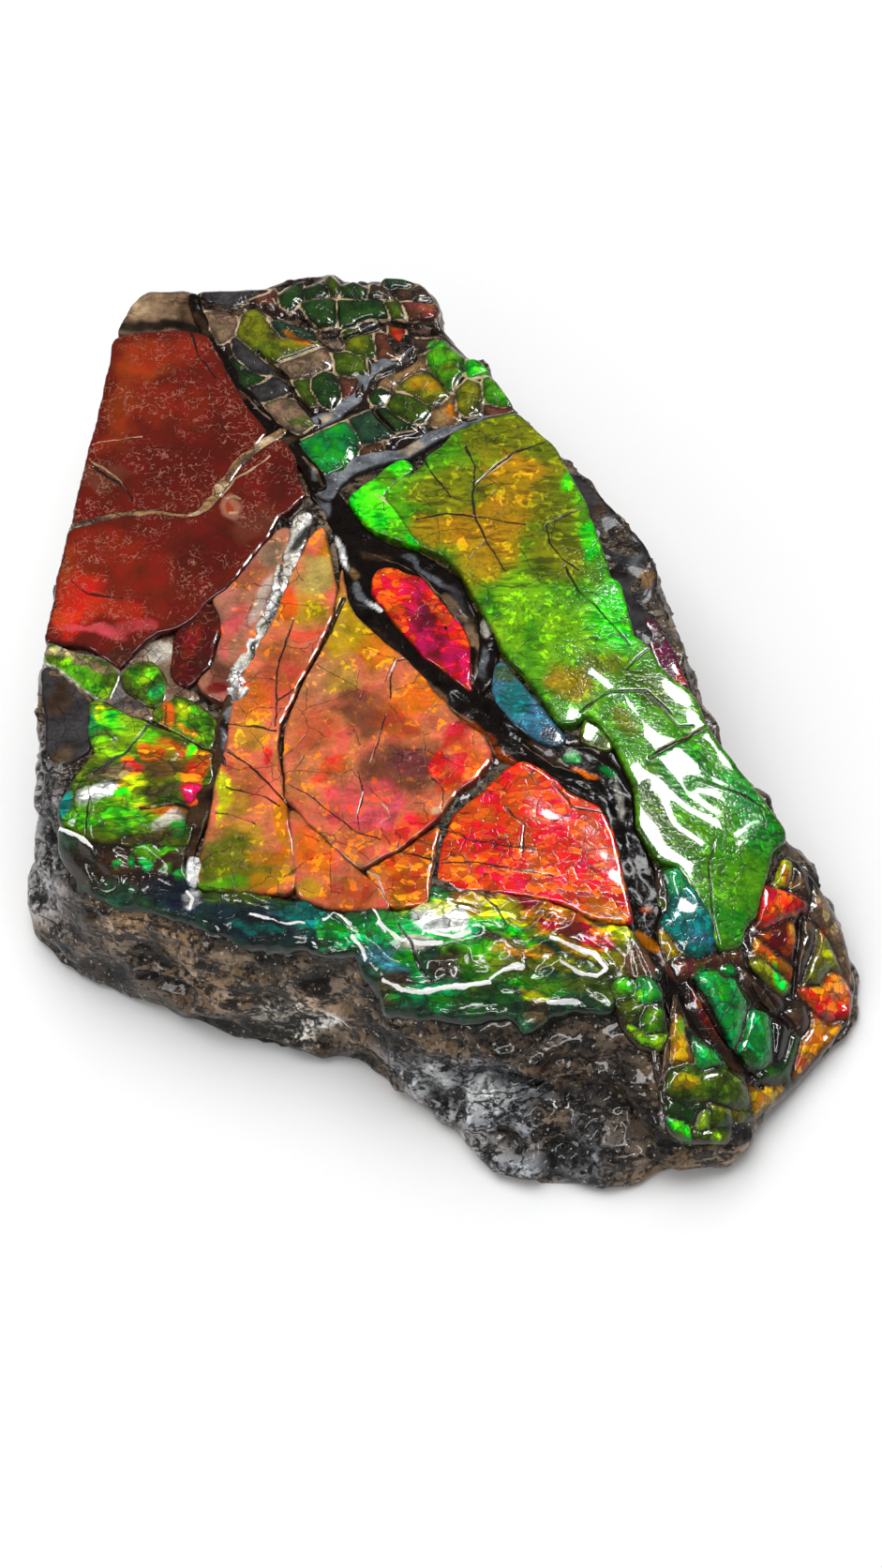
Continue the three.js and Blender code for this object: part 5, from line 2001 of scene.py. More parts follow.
FOLD_BAND = FoldBand("folded_band_plate", Marks.FOLDS, Hue.PINE, outline=(
    (-60, -26.5), (-55, -30.5), (-50, -31.5), (-45, -31.5), (-40.5, -32.5), (-40.5, -35.5),
    (-39.5, -38.5), (-31, -39.5), (-22.5, -41.5), (-16.5, -43.5), (-8.5, -44), (-2.5, -43),
    (-1.5, -40.5), (12.5, -41), (18.5, -42), (24, -44), (29.5, -44), (33.5, -50.5), (31.5, -51.5),
    (28, -51.5), (25, -52.5), (26, -56), (21, -55.5), (16, -57), (12.5, -59.5), (10, -57.5),
    (3.5, -58.5), (-2.5, -58), (-9, -56.5), (-14, -49), (-33.5, -45), (-39.5, -42), (-46, -39.5),
    (-51.5, -38.5), (-56.5, -35.5), (-59.5, -31),
), crests=(
    Crack(((-10, -45.5), (-6.5, -48.5), (-0.5, -49), (5.5, -47.5)), 3.0, 0.6),
    Crack(((-9.5, -53), (-6.5, -55), (-3.5, -55.5), (7, -54), (9.5, -52), (12, -51.5)), 3.0, 0.7),
    Crack(((16.5, -47), (23, -48.5), (25, -50.5), (24, -51.5), (20.5, -51), (18, -50)), 2.4, 0.6),
    Crack(((-5, -46), (-2.5, -43.5), (0, -43), (2.5, -45)), 3.0, 0.5),
    Crack(((-61, -26), (-59.5, -27.5), (-57, -29), (-54, -32), (-51, -34)), 2.6, 0.7),
    Crack(((-46, -37.5), (-40, -39), (-32.5, -42), (-25, -43.5), (-21, -45)), 2.4, 0.5),
), flushes=(
    (-56, -32.5, 5, 3, Hue.PITCH, -20, 0.9), (-48.5, -33.5, 10, 4, Hue.UMBER, -8, 0.95),
    (-51, -34, 0.8, 0.6, Hue.JADE, 0, 0.9), (-48.5, -33.5, 0.8, 1.2, Hue.EMERALD, 0, 0.9),
    (-46, -33.5, 0.8, 1, Hue.JADE, 0, 0.9), (-43, -35, 1.4, 0.8, Hue.LEAF),
    (-45, -32, 4, 0.8, Hue.LEAF, -8), (-40.5, -36, 0.8, 0.8, Hue.JADE, 0, 0.9),
    # The chalk patch at the end of the next line is a painted glint.
    (-42, -38.5, 7, 2.4, Hue.NAVY, -20, 0.9), (-39, -39.5, 1.6, 1.4, Hue.CHALK, 40, 0.6),
    (-29.5, -40, 9, 1.4, Hue.MOSS, -5, 0.9), (-32.5, -43, 9, 3.2, Hue.NAVY, -12),
    (-24, -45, 7, 2.6, Hue.NAVY), (-29, -44.5, 5, 0.7, Hue.TEAL, -10),
    (-21, -44, 4, 2, Hue.TEAL, -5, 0.9), (-19, -46, 1.4, 1, Hue.JADE, 0, 0.9),
    (-13, -46, 5, 2.4, Hue.EMERALD, -5, 0.9), (-13, -46.5, 1.2, 0.8, Hue.JADE, 0, 0.9),
    (-8, -46.5, 4, 2, Hue.EMERALD, -5), (-0.5, -45, 8, 4, Hue.JADE, 0, 0.95),
    # The chalk and bone patches on the next line are painted highlights.
    (-0.5, -44.5, 3.8, 2.2, Hue.CHALK, 0, 0.95), (-5, -48.5, 3, 1.2, Hue.BONE, -10, 0.9),
    (-0.5, -42.5, 6, 1, Hue.LEMON, 8, 0.7), (-11.5, -49.5, 2.4, 1.2, Hue.AZURE),
    (-7.5, -50.5, 4, 2, Hue.AZURE, -30), (-5.5, -51, 1.2, 5, Hue.EMERALD, 35, 0.95),
    (1, -49.5, 4, 1, Hue.LEAF, -8), (5.5, -49, 4, 1.6, Hue.NEON, 0, 0.95),
    (1.5, -51.5, 4, 2.4, Hue.BARK, 10), (6.5, -52, 5, 2.4, Hue.LEAF, 10, 0.6),
    (10, -50.5, 6, 1.6, Hue.OLIVE, -5, 0.6), (-8, -54.5, 3, 2.4, Hue.UMBER),
    (-1.5, -56, 7, 1.6, Hue.EMERALD, -5), (6.5, -56, 6, 1.6, Hue.FOREST, 10),
    (14, -53.5, 5, 1.8, Hue.LEAF, -5, 0.7), (14, -55.5, 3, 0.8, Hue.LEMON, -5, 0.7),
    (14, -57.5, 2, 2, Hue.BARK), (6, -42, 6, 1.6, Hue.GOLD, -12, 0.9),
    (11, -44, 6, 1.6, Hue.LEMON, -20), (9, -46, 5, 1.2, Hue.NEON, -25, 0.9),
    (17, -45.5, 5, 1.4, Hue.EMERALD, 0, 0.9), (16, -43, 6, 2.4, Hue.RUST, -10, 0.9),
    (18.5, -41, 5, 1, Hue.AMBER, -10, 0.9), (14.5, -45, 4, 0.8, Hue.GOLD, -20, 0.9),
    (23, -45, 4, 2.8, Hue.BLAZE, -10), (25.5, -43, 4, 1.8, Hue.LEMON, -35),
    (21, -47.5, 5, 1.2, Hue.GOLD, -15, 0.9), (12.5, -48.5, 4, 1, Hue.AMBER),
    (20, -45, 2, 2.4, Hue.COCOA, 30, 0.9), (10, -47.5, 5, 0.8, Hue.BARK, -10),
    (18, -50, 4, 1.6, Hue.OLIVE, -10), (27, -49, 4, 3, Hue.OLIVE, -10), (30.5, -49, 2, 3, Hue.COCOA),
    (23.5, -53, 4, 2, Hue.MOSS, -10),
), cracks=(
    Crack(((-7, -46), (-5, -49), (-3.5, -52.5), (-2, -54)), 0.3, 0.3),
    Crack(((3.5, -40), (6, -41), (8, -42.5), (9.5, -45.5)), 0.25, 0.25),
    Crack(((-12, -37), (-10, -40), (-8.5, -43.5)), 0.25, 0.2),
), veins=(
    # Painted highlights: these threads take the folds' chalk white, most along the fold crests.
    Vein(((-10, -45.5), (-6.5, -48.5), (-3, -49), (-0.5, -49)), 0.5),
    Vein(((-9.5, -53.5), (-6.5, -55), (-3.5, -55.5), (7, -54)), 0.6),
    Vein(((7, -53.5), (9, -52), (12, -51.5)), 0.6),
    Vein(((16.5, -47), (23, -48.5), (25, -50.5), (23.5, -51.5), (20.5, -51), (18, -50)), 0.5),
    Vein(((16, -55.5), (19, -55), (21, -55)), 0.4),
    Vein(((-62, -25.5), (-59.5, -27.5), (-57, -29), (-55, -31)), 0.7),
    Vein(((-40, -38.5), (-39, -39.5), (-39.5, -40.5)), 0.5),
    Vein(((-18.5, -44.5), (-17, -43.5), (-14.5, -45)), 0.3),
    Vein(((-30, -42.5), (-25, -44), (-21.5, -44.5)), 0.2),
    Vein(((-11.5, -42.5), (-10, -45), (-9, -47)), 0.3), Vein(((-2.5, -47), (1.5, -48), (4, -47)), 0.5),
    Vein(((-14, -47), (-13, -48.5), (-12, -50)), 0.5),
), ragged=0.5, relief=0.2, relief_size=5.0, thickness=2.2, rim=Hue.PITCH, rim_width=0.35)

SEAMS: tuple[Plate, ...] = (
    seam("cream_seam", Marks.CALCITE, Hue.TAN, course=(
        (-60.5, 26, 0.5), (-56.5, 27, 0.7), (-53, 28, 0.8), (-49, 28.5, 0.9), (-45.5, 28, 1.2),
        (-41.5, 27.5, 1.3), (-39, 28.5, 1.5), (-37.5, 31, 1.7), (-36.5, 33.5, 1.3), (-35, 35.5, 0.9),
        (-34, 38, 1.2), (-32, 40, 1.5), (-29, 42.5, 1.1), (-26, 45, 0.7),
    ), flushes=(
        (-56, 27.5, 7, 1.2, Hue.UMBER, 0, 0.9), (-47.5, 28, 2, 0.8, Hue.COCOA),
        (-39.5, 28.5, 2.4, 1.2, Hue.CREAM, 0, 0.9), (-37, 33, 1.2, 1.2, Hue.CREAM),
        (-35, 36, 1.4, 0.8, Hue.COCOA, 40, 0.9), (-32.5, 39.5, 2.5, 1, Hue.BARK, 40, 0.7),
        (-29, 42.5, 2.4, 1.4, Hue.CREAM, 20, 0.9),
    ), lift=0.05, rim_width=0.1, relief_size=2.5),
    seam("end_edge_seam", Marks.CALCITE, Hue.BARK, course=(
        (32, -60.5, 0.6), (33, -64, 1.0), (34.5, -67, 1.2), (34, -70, 1.2), (34.5, -71.5, 0.6),
    ), flushes=(
        # The chalk patches are painted highlights along the seam's glossy edge.
        (34.5, -68, 0.7, 4, Hue.CHALK, 5, 0.9), (34, -71.5, 0.8, 1.4, Hue.CHALK, 25, 0.9),
    ), lift=-0.5, ragged=0.4, thickness=2.0, relief=0.3, relief_size=2.0),
    seam("black_seam", Marks.STONY, Hue.PITCH, course=(
        (-42, 72.5, 1.0), (-40.5, 67, 1.4), (-38.5, 62, 1.6), (-35.5, 57, 1.8), (-32.5, 51.5, 2.0),
        (-29, 46.5, 2.0), (-25, 42.5, 2.2), (-22, 38.5, 2.4), (-20, 33.5, 2.0),
    ), flushes=(
        (-40, 66, 0.7, 3, Hue.BARK, 15), (-32.5, 52, 0.6, 2, Hue.COCOA, 35),
        (-25.5, 42.5, 2, 1, Hue.MUD, 30, 0.7), (-20.5, 36, 1.2, 2, Hue.ASH, 20, 0.5),
    ), veins=(
        Vein(((-33.5, 53), (-31, 49.5), (-28.5, 47)), 0.4), Vein(((-23, 39.5), (-21, 37), (-20, 34)), 0.5),
    ), lift=-0.25, relief=0.3, relief_size=2.5),
    seam("silver_seam", Marks.CALCITE, Hue.BONE, course=(
        (-22.5, 28.5, 2.2), (-23.5, 23.5, 2.4), (-25.5, 18, 2.0), (-27, 12, 1.6), (-29, 7, 1.5),
        (-30.5, 3, 1.7), (-32, 0, 1.8), (-33.5, -3.5, 1.6),
    ), flushes=(
        # The chalk patches among these are painted glints on the seam's own pale quartz.
        (-22, 27.5, 0.9, 2, Hue.CHALK, -15, 0.9), (-23, 23, 0.8, 3, Hue.PITCH, -15, 0.95),
        (-25.5, 19, 0.5, 4, Hue.PITCH, -15, 0.95), (-24, 22, 0.4, 3, Hue.ASH, -15, 0.9),
        (-28, 9, 0.5, 2, Hue.ASH, -15, 0.9), (-24.5, 21, 0.5, 2.4, Hue.BONE, -15, 0.9),
        (-25.5, 17, 0.6, 2, Hue.BARK, 0, 0.9), (-27.5, 13, 0.9, 3, Hue.CHALK, -18, 0.95),
        (-26.5, 11, 0.4, 2.4, Hue.PITCH, -18, 0.95), (-28.5, 7.5, 0.5, 1.6, Hue.SLATE, -15, 0.9),
        (-30, 4.5, 0.6, 2.4, Hue.CHALK, -22, 0.9), (-30.5, 1.5, 0.5, 2, Hue.PITCH, -22, 0.95),
        (-32.5, -1, 0.8, 1.4, Hue.CHALK, -20),
    ), relief=0.5, relief_size=1.8, rim=Hue.PITCH),
    seam("left_crack_seam", Marks.STONY, Hue.BARK, course=(
        (-33.5, -6, 1.4), (-34.5, -11.5, 2.4), (-35.5, -16, 2.0), (-35.5, -21.5, 2.0), (-37, -24.5, 3.4),
        (-38.5, -27.5, 2.8), (-39.5, -31, 1.8), (-40, -33.5, 1.2),
    ), flushes=(
        (-34, -10, 0.8, 2, Hue.ASH), (-35, -14, 0.8, 2.5, Hue.ASH),
        (-34.5, -11.5, 0.8, 2, Hue.PITCH, 0, 0.9), (-36.5, -24.5, 1.6, 2.4, Hue.PITCH, -20, 0.9),
        (-38, -26, 1, 2, Hue.BARK, -20),
    ), lift=-0.6, relief=0.7, relief_size=2.4),
    # A white quartz lump whose chalk white is partly a painted glint.
    Plate("quartz_foot", Marks.CALCITE, Hue.CHALK, outline=(
        (-39.5, -33.5), (-37.5, -34), (-38.5, -37), (-39.5, -38.5), (-40, -37.5),
    ), lift=-0.1, relief=0.4, relief_size=2.0, voxel=0.3),
    # A white quartz lump whose chalk white is partly a painted glint.
    Plate("quartz_knot", Marks.CALCITE, Hue.CHALK, outline=(
        (-34.5, -2.5), (-33.5, -3), (-32.5, -1.5), (-31.5, -2.5), (-31, -4.5), (-32, -6.5), (-33.5, -7),
    ), flushes=(
        (-32.5, -4.5, 0.9, 0.9, Hue.RUST, 0, 0.7), (-33.5, -6, 0.8, 1.4, Hue.PITCH),
    ), relief=0.5, relief_size=1.6, voxel=0.3),
    seam("grey_seam", Marks.STONY, Hue.ASH, course=(
        (-19.5, 32, 2.0), (-18, 35.5, 2.6), (-15, 38, 2.3), (-11.5, 39.5, 1.8), (-6.5, 40.5, 1.6),
        (-2.5, 43.5, 1.6), (2.5, 46.5, 1.4), (7.5, 48.5, 1.0), (12, 48.5, 0.8),
    ), flushes=(
        (-18.5, 33.5, 1.6, 2, Hue.SLATE, 0, 0.6), (-5, 42, 2, 1.2, Hue.CREAM, 0, 0.5),
        (-12, 39, 2, 0.8, Hue.PITCH, 0, 0.5),
    ), lift=-0.4, relief=0.25, relief_size=2.5),
    seam("grey_back_seam", Marks.STONY, Hue.ASH, course=(
        (-22, 46, 1.8), (-18, 48.5, 2.0), (-15, 51.5, 2.2), (-13.5, 56, 2.2), (-11, 58, 1.6),
        (-7.5, 60, 1.4), (-5, 63, 1.2),
    ), flushes=(
        (-13.5, 54, 1.4, 2, Hue.SLATE, 0, 0.7), (-19, 48, 1.6, 1, Hue.CREAM, 0, 0.5),
    ), lift=-0.5, relief=0.3, relief_size=2.5),
)

FILLINGS: tuple[Plate, ...] = (
    Mosaic("back_mosaic", Marks.TILES, Hue.UMBER, outline=(
        (-42, 73), (-28, 74), (-24.5, 75), (-21.5, 77), (-18.5, 77), (-15.5, 74.5), (-11, 74.5),
        (-9.5, 75.5), (-6, 75.5), (-3.5, 74.5), (-0.5, 69.5), (-1, 67), (4, 59.5), (6, 58.5), (12, 48.5),
        (7, 47.5), (2.5, 46), (-2.5, 43.5), (-6.5, 40.5), (-15.5, 37.5), (-19, 35.5), (-23, 40), (-25, 44),
        (-30.5, 49), (-33.5, 53.5), (-40, 65.5),
    ), tiles=(
        Tile(((-23, 73.5), (-20, 75), (-19, 72), (-23, 71.5)), Hue.FOREST, 0.7),
        Tile(((-20, 75), (-19, 76), (-17.5, 73.5), (-17.5, 71.5), (-19, 72)), Hue.MOSS, 0.7),
        Tile(((-17, 73.5), (-15, 74.5), (-13, 73), (-13, 71), (-17.5, 71.5)), Hue.FOREST, 0.7),
        Tile(((-12, 74), (-10, 73.5), (-9, 71.5), (-12.5, 71.5)), Hue.BARK, 0.7),
        Tile(((-10.5, 75.5), (-7.5, 75.5), (-5, 74.5), (-6, 73.5), (-9.5, 74)), Hue.PINE, 0.6),
        Tile(((-8, 73), (-4.5, 74.5), (-1, 71), (-7, 71)), Hue.BARK, 0.6),
        Tile(((-24, 70.5), (-18, 71), (-18, 66), (-20.5, 66), (-22.5, 68)), Hue.FOREST, 0.8),
        Tile(((-18, 71), (-10.5, 71), (-9.5, 68), (-12.5, 67), (-15, 65.5), (-17.5, 66)), Hue.FOREST, 0.8),
        Tile(((-9.5, 70.5), (-7.5, 70.5), (-6.5, 67.5), (-8.5, 67.5)), Hue.MOSS, 0.7),
        Tile(((-7, 70.5), (-1, 70.5), (-1, 69), (-2, 67), (-5.5, 67)), Hue.COCOA, 0.6),
        Tile(((-27.5, 72), (-24, 74.5), (-23.5, 71), (-26, 69), (-27.5, 70)), Hue.FOREST, 0.5),
        Tile((
            (-33, 71), (-28.5, 73), (-27.5, 70.5), (-26, 68.5), (-29, 68.5), (-31.5, 70.5),
        ), Hue.COCOA, 0.4),
        Tile(((-40, 72.5), (-29.5, 73), (-33, 71), (-36.5, 70), (-39.5, 70)), Hue.SLATE, 0.2),
        Tile((
            (-34.5, 64.5), (-34, 67), (-32, 69.5), (-29.5, 67.5), (-27, 63.5), (-23, 63), (-21, 62),
            (-27, 58.5), (-30, 59.5),
        ), Hue.OLIVE, 0.5),
        Tile(((-29.5, 67), (-21.5, 65), (-21.5, 63), (-27, 63.5)), Hue.PINE, 0.1),
        Tile(((-39.5, 68.5), (-36, 68.5), (-34, 67), (-35, 64), (-37, 62.5)), Hue.TAUPE),
        Tile((
            (-35, 63.5), (-30.5, 59.5), (-28, 56.5), (-29.5, 56), (-32, 57.5), (-34, 59.5),
        ), Hue.SLATE, 0.1),
        Tile((
            (-35, 59), (-32, 56.5), (-29, 55.5), (-30, 54.5), (-32.5, 53.5), (-34, 56),
        ), Hue.FOREST, 0.0),
        Tile(((-32, 53.5), (-28.5, 55.5), (-25, 53.5), (-27, 52), (-30, 51)), Hue.SLATE),
        Tile((
            (-29, 50), (-27, 51), (-24.5, 50.5), (-22.5, 48.5), (-21.5, 46.5), (-23.5, 45), (-26, 46),
            (-28, 48),
        ), Hue.TAUPE, 0.1),
        Tile((
            (-27, 58.5), (-20, 61), (-18.5, 58.5), (-22, 55.5), (-25, 55.5), (-26.5, 56.5),
        ), Hue.TAUPE, 0.2),
        Tile(((-24.5, 54.5), (-22, 55.5), (-22, 53), (-21, 50.5), (-22, 50)), Hue.MOSS),
        Tile((
            (-22, 55), (-20, 56.5), (-17.5, 55.5), (-17, 52.5), (-18.5, 49.5), (-20.5, 50.5), (-22, 53),
        ), Hue.FOREST, 0.5),
        Tile((
            (-18, 60), (-15.5, 60.5), (-13.5, 59.5), (-13, 56.5), (-15.5, 55.5), (-17.5, 56.5),
        ), Hue.MOSS, 0.5),
        Tile(((-17.5, 56), (-15, 55.5), (-14, 56), (-14.5, 53), (-16.5, 52)), Hue.COCOA, 0.1),
        Tile((
            (-16.5, 64.5), (-14.5, 65.5), (-12, 64), (-11.5, 60), (-15, 60.5), (-16, 61.5),
        ), Hue.MOSS, 0.2),
        Tile(((-11.5, 65), (-9.5, 63.5), (-8, 60), (-11, 59.5)), Hue.COCOA, 0.2),
        Tile(((-14.5, 66.5), (-12, 67), (-11, 65), (-13.5, 64.5)), Hue.SLATE),
        Tile(((-9, 66), (-7, 65.5), (-6.5, 62), (-7.5, 60.5), (-8.5, 63)), Hue.RUST),
        Tile((
            (-23.5, 42.5), (-16, 46.5), (-14.5, 44), (-14.5, 40.5), (-16.5, 37.5), (-19, 36.5),
            (-22.5, 40.5),
        ), Hue.EMERALD, 0.3),
        Tile(((-15.5, 47), (-11.5, 49), (-8.5, 44.5), (-10.5, 42.5), (-13, 42.5)), Hue.PINE, 0.1),
        Tile(((-13.5, 40.5), (-12.5, 42.5), (-10, 43), (-10.5, 41), (-12.5, 39.5)), Hue.COCOA),
        Tile(((-12, 51.5), (-10.5, 53.5), (-9, 52.5), (-10, 50), (-11.5, 50)), Hue.FOREST, 0.3),
        Tile(((-9.5, 50), (-7.5, 52.5), (-5, 51.5), (-1.5, 48.5), (-3.5, 47), (-6, 46.5)), Hue.MOSS, 0.5),
        Tile((
            (-8.5, 53), (-5.5, 56), (-2, 56.5), (1, 52), (-0.5, 50), (-3, 50.5), (-5, 52),
        ), Hue.OLIVE, 0.5),
        Tile(((-11.5, 49.5), (-9.5, 49.5), (-5, 45.5), (-8, 45), (-10, 47)), Hue.FOREST, 0.3),
        Tile(((-3, 58), (-3, 60.5), (-1, 63), (3, 59), (3.5, 56.5), (2, 55.5), (1, 53)), Hue.LEAF, 0.6),
        Tile(((4, 58.5), (6, 59), (8, 56), (4.5, 55.5), (3.5, 57)), Hue.NEON, 0.6),
        Tile((
            (7, 55), (8.5, 55), (10.5, 53), (11.5, 50), (10, 49.5), (7.5, 50), (6, 52.5),
        ), Hue.LEAF, 0.5),
        Tile(((2, 52.5), (4, 54.5), (6, 53.5), (6.5, 51), (6, 48.5), (4, 48), (2, 49)), Hue.OLIVE, 0.4),
        Tile(((-2.5, 47), (-2.5, 48.5), (1.5, 52), (2, 47), (-0.5, 46)), Hue.TAN, 0.2),
        Tile(((6.5, 50), (11.5, 49.5), (12.5, 48), (8.5, 47.5), (6.5, 48)), Hue.COCOA, 0.1),
        Tile(((-5, 63), (-1, 63), (-2, 61), (-4, 60.5)), Hue.BARK),
        Tile((
            (-11, 53.5), (-10.5, 55.5), (-7, 56.5), (-5, 58), (-3.5, 60), (-2.5, 57), (-5.5, 56),
            (-7.5, 54.5), (-8.5, 53),
        ), Hue.TAN, 0.1),
    ), flushes=(
        (-29.5, 61, 4, 1.6, Hue.MOSS, -20, 0.7), (-25, 63.5, 2.6, 0.7, Hue.AMBER, -20, 0.9),
        (-3, 54, 2.6, 1.4, Hue.GOLD, 0, 0.7), (-0.5, 62, 1.2, 1, Hue.NEON, 0, 0.9),
        (1, 56.5, 2, 1, Hue.OLIVE, 0, 0.7), (-18, 39.5, 2.5, 1.5, Hue.JADE, 30, 0.5),
        (-23.5, 47, 1.6, 1.2, Hue.MOSS), (0.5, 48.5, 1.2, 1.4, Hue.AMBER),
        (-14.5, 62, 1.6, 1.2, Hue.OLIVE, 0, 0.6), (-3.5, 68.5, 2.2, 1.2, Hue.SALMON, 0, 0.4),
    ), cracks=(
        Crack(((-29.5, 70), (-27, 68), (-23.5, 66.5), (-20, 64), (-16.5, 62.5)), 1.5, 1.2),
        Crack(((-42, 73), (-39.5, 70.5), (-35, 69), (-32, 70)), 0.9, 0.9),
        Crack(((-16.5, 63.5), (-11.5, 65.5), (-9.5, 67), (-5.5, 66), (-2, 66)), 0.9, 0.8),
        Crack(((-30.5, 60.5), (-26, 55.5), (-24.5, 52), (-21, 47)), 0.7, 0.8),
        Crack(((-13.5, 55.5), (-15, 52), (-16.5, 49)), 0.7, 0.5),
        Crack(((-11.5, 49), (-10, 47), (-8, 44.5)), 0.6, 0.5),
        Crack(((-4.5, 61), (-5, 59), (-11, 55), (-12, 52)), 0.6, 0.5),
    ), lift=-0.35, grow=0.2, relief=0.3, relief_size=5.0, rim=Hue.TAN, joint=0.32, thickness=2.0),
    Mosaic("end_mosaic", Marks.FACETS, Hue.UMBER, outline=(
        (33, -33), (36.5, -32.5), (42, -39.5), (43, -43.5), (46.5, -43), (47, -40), (49.5, -37),
        (50.5, -32), (54.5, -26), (58, -28), (61, -31.5), (63, -35), (65.5, -42), (64, -48.5), (61, -53),
        (50.5, -65), (47.5, -67.5), (44, -72), (38, -73), (34.5, -72), (33, -67), (36, -52), (33.5, -45),
    ), tiles=(
        Tile((
            (34.5, -34), (36.5, -33), (41, -37.5), (42, -39.5), (42.5, -43.5), (40, -46), (37.5, -46),
            (34, -42), (35, -39),
        ), Hue.TEAL, 0.5),
        Tile(((33, -34), (34.5, -35.5), (35, -37.5), (33.5, -37)), Hue.BARK),
        Tile(((33, -38), (35, -38), (34.5, -39.5), (33, -39.5)), Hue.MOSS),
        Tile(((33.5, -43.5), (35, -44), (36.5, -46.5), (35, -47)), Hue.HONEY, 0.1),
        Tile(((36, -47.5), (43.5, -45), (46.5, -43.5), (46, -45), (39, -48.5), (37, -49)), Hue.COCOA, 0.2),
        Tile(((43, -46.5), (45, -45), (45.5, -47), (43.5, -48)), Hue.EMERALD, 0.2),
        Tile((
            (39, -49.5), (40.5, -48), (42.5, -47.5), (45.5, -48.5), (47, -51), (47, -53.5), (46, -57),
            (44.5, -58), (41, -52),
        ), Hue.EMERALD, 0.9),
        Tile(((38.5, -51), (40.5, -53), (44, -58.5), (42.5, -58), (38.5, -53)), Hue.OXBLOOD, 0.2),
        Tile((
            (47.5, -53.5), (48.5, -52), (50.5, -52), (51.5, -54), (51.5, -58), (49.5, -60), (47, -60),
            (46, -59),
        ), Hue.EMERALD, 0.8),
        Tile(((51.5, -53), (53.5, -52.5), (54, -54), (53.5, -57.5), (51.5, -58.5)), Hue.PITCH, 0.5),
        Tile((
            (54.5, -54), (56, -53.5), (55.5, -56.5), (54, -60.5), (48.5, -62.5), (53, -57.5),
        ), Hue.FOREST, 0.5),
        Tile((
            (46, -46), (47.5, -46), (49.5, -47.5), (54.5, -50), (52, -51), (49.5, -50), (47.5, -48.5),
        ), Hue.BARK, 0.3),
        Tile(((47.5, -45.5), (49.5, -43.5), (53.5, -45), (54.5, -46.5), (53, -48)), Hue.OLIVE, 0.5),
        Tile(((49, -41), (55, -44), (54, -45.5), (49, -43)), Hue.AMBER, 0.3),
        Tile((
            (50, -35.5), (50.5, -32.5), (57.5, -32.5), (57, -34), (54, -36), (51.5, -38.5), (49.5, -39.5),
        ), Hue.BLAZE, 0.8),
        Tile((
            (53, -29.5), (54, -27.5), (55.5, -27.5), (55, -30), (54, -31), (52.5, -31.5),
        ), Hue.LEMON, 0.5),
        Tile((
            (55.5, -27.5), (57, -28.5), (58.5, -30.5), (58.5, -32.5), (57, -32.5), (55, -31),
        ), Hue.BARK, 0.4),
        Tile(((49, -40), (51.5, -38), (55, -36.5), (56, -38.5), (55.5, -42), (53, -42)), Hue.OXBLOOD, 0.4),
        Tile(((58, -29.5), (63.5, -35.5), (65, -42), (64, -42), (60, -36), (58.5, -34.5)), Hue.TAUPE, 0.3),
        Tile(((57, -36), (59, -36), (58.5, -39.5), (56, -46), (55.5, -42)), Hue.BARK, 0.5),
        Tile((
            (59, -36), (61, -37), (62.5, -39.5), (63, -41.5), (61, -42), (59.5, -45), (57, -45.5),
            (57.5, -42.5), (59, -39),
        ), Hue.OLIVE, 0.8),
        Tile((
            (56, -46.5), (59.5, -45), (61.5, -42), (63.5, -42.5), (64.5, -44.5), (64, -48.5), (62, -49.5),
            (59, -49), (57, -48),
        ), Hue.ORANGE, 0.9),
        Tile((
            (57.5, -49), (60, -50), (63.5, -49), (61, -53), (58.5, -55), (55, -59.5), (55, -57.5),
            (56, -54.5), (58, -51.5),
        ), Hue.AMBER, 0.6),
        Tile(((54.5, -48.5), (57, -48.5), (58, -50.5), (56.5, -53), (52.5, -51)), Hue.BARK, 0.3),
        Tile((
            (34.5, -57), (36, -55), (37, -57.5), (38.5, -59.5), (39, -61.5), (35, -63.5),
        ), Hue.GOLD, 0.4),
        Tile((
            (37.5, -58), (39.5, -59.5), (41.5, -60), (43, -61.5), (40, -63), (38.5, -61.5),
        ), Hue.JADE, 0.6),
        Tile((
            (34.5, -64), (38, -62.5), (40, -63), (43, -62), (45.5, -63), (47.5, -64.5), (47, -66.5),
            (44, -67.5), (41, -67), (38, -68), (34.5, -67.5),
        ), Hue.MOSS, 0.7),
        Tile((
            (34.5, -68), (37.5, -68.5), (40, -68), (39, -70.5), (37, -70.5), (34.5, -70),
        ), Hue.FOREST, 0.5),
        Tile(((39, -69.5), (41, -68.5), (41.5, -70), (40, -71.5), (39, -71)), Hue.LIME, 0.5),
        Tile(((41, -67.5), (44.5, -67), (45, -69.5), (42.5, -70.5), (41, -70)), Hue.MOSS, 0.6),
        Tile(((45, -67.5), (47.5, -66.5), (45, -69.5)), Hue.OLIVE, 0.4),
        Tile(((34.5, -71), (36.5, -71), (38, -72), (38, -73), (36, -72.5)), Hue.NEON, 0.4),
        Tile(((38.5, -72), (44.5, -70), (44, -72), (41, -73)), Hue.MOSS, 0.3),
        Tile(((48, -63.5), (53, -61), (53, -62.5), (48.5, -66.5)), Hue.GOLD, 0.2),
        Tile(((34, -53), (35.5, -53.5), (36, -55.5), (35, -58.5), (34.5, -64), (33, -65.5)), Hue.TAN, 0.3),
    ), flushes=(
        (35.5, -35, 1.4, 2.2, Hue.JADE, 20, 0.5), (39.5, -43, 3, 2, Hue.AZURE, -20, 0.6),
        (42, -50, 3, 1.8, Hue.JADE, -30, 0.6), (49, -53.5, 1.8, 1.2, Hue.JADE, 0, 0.6),
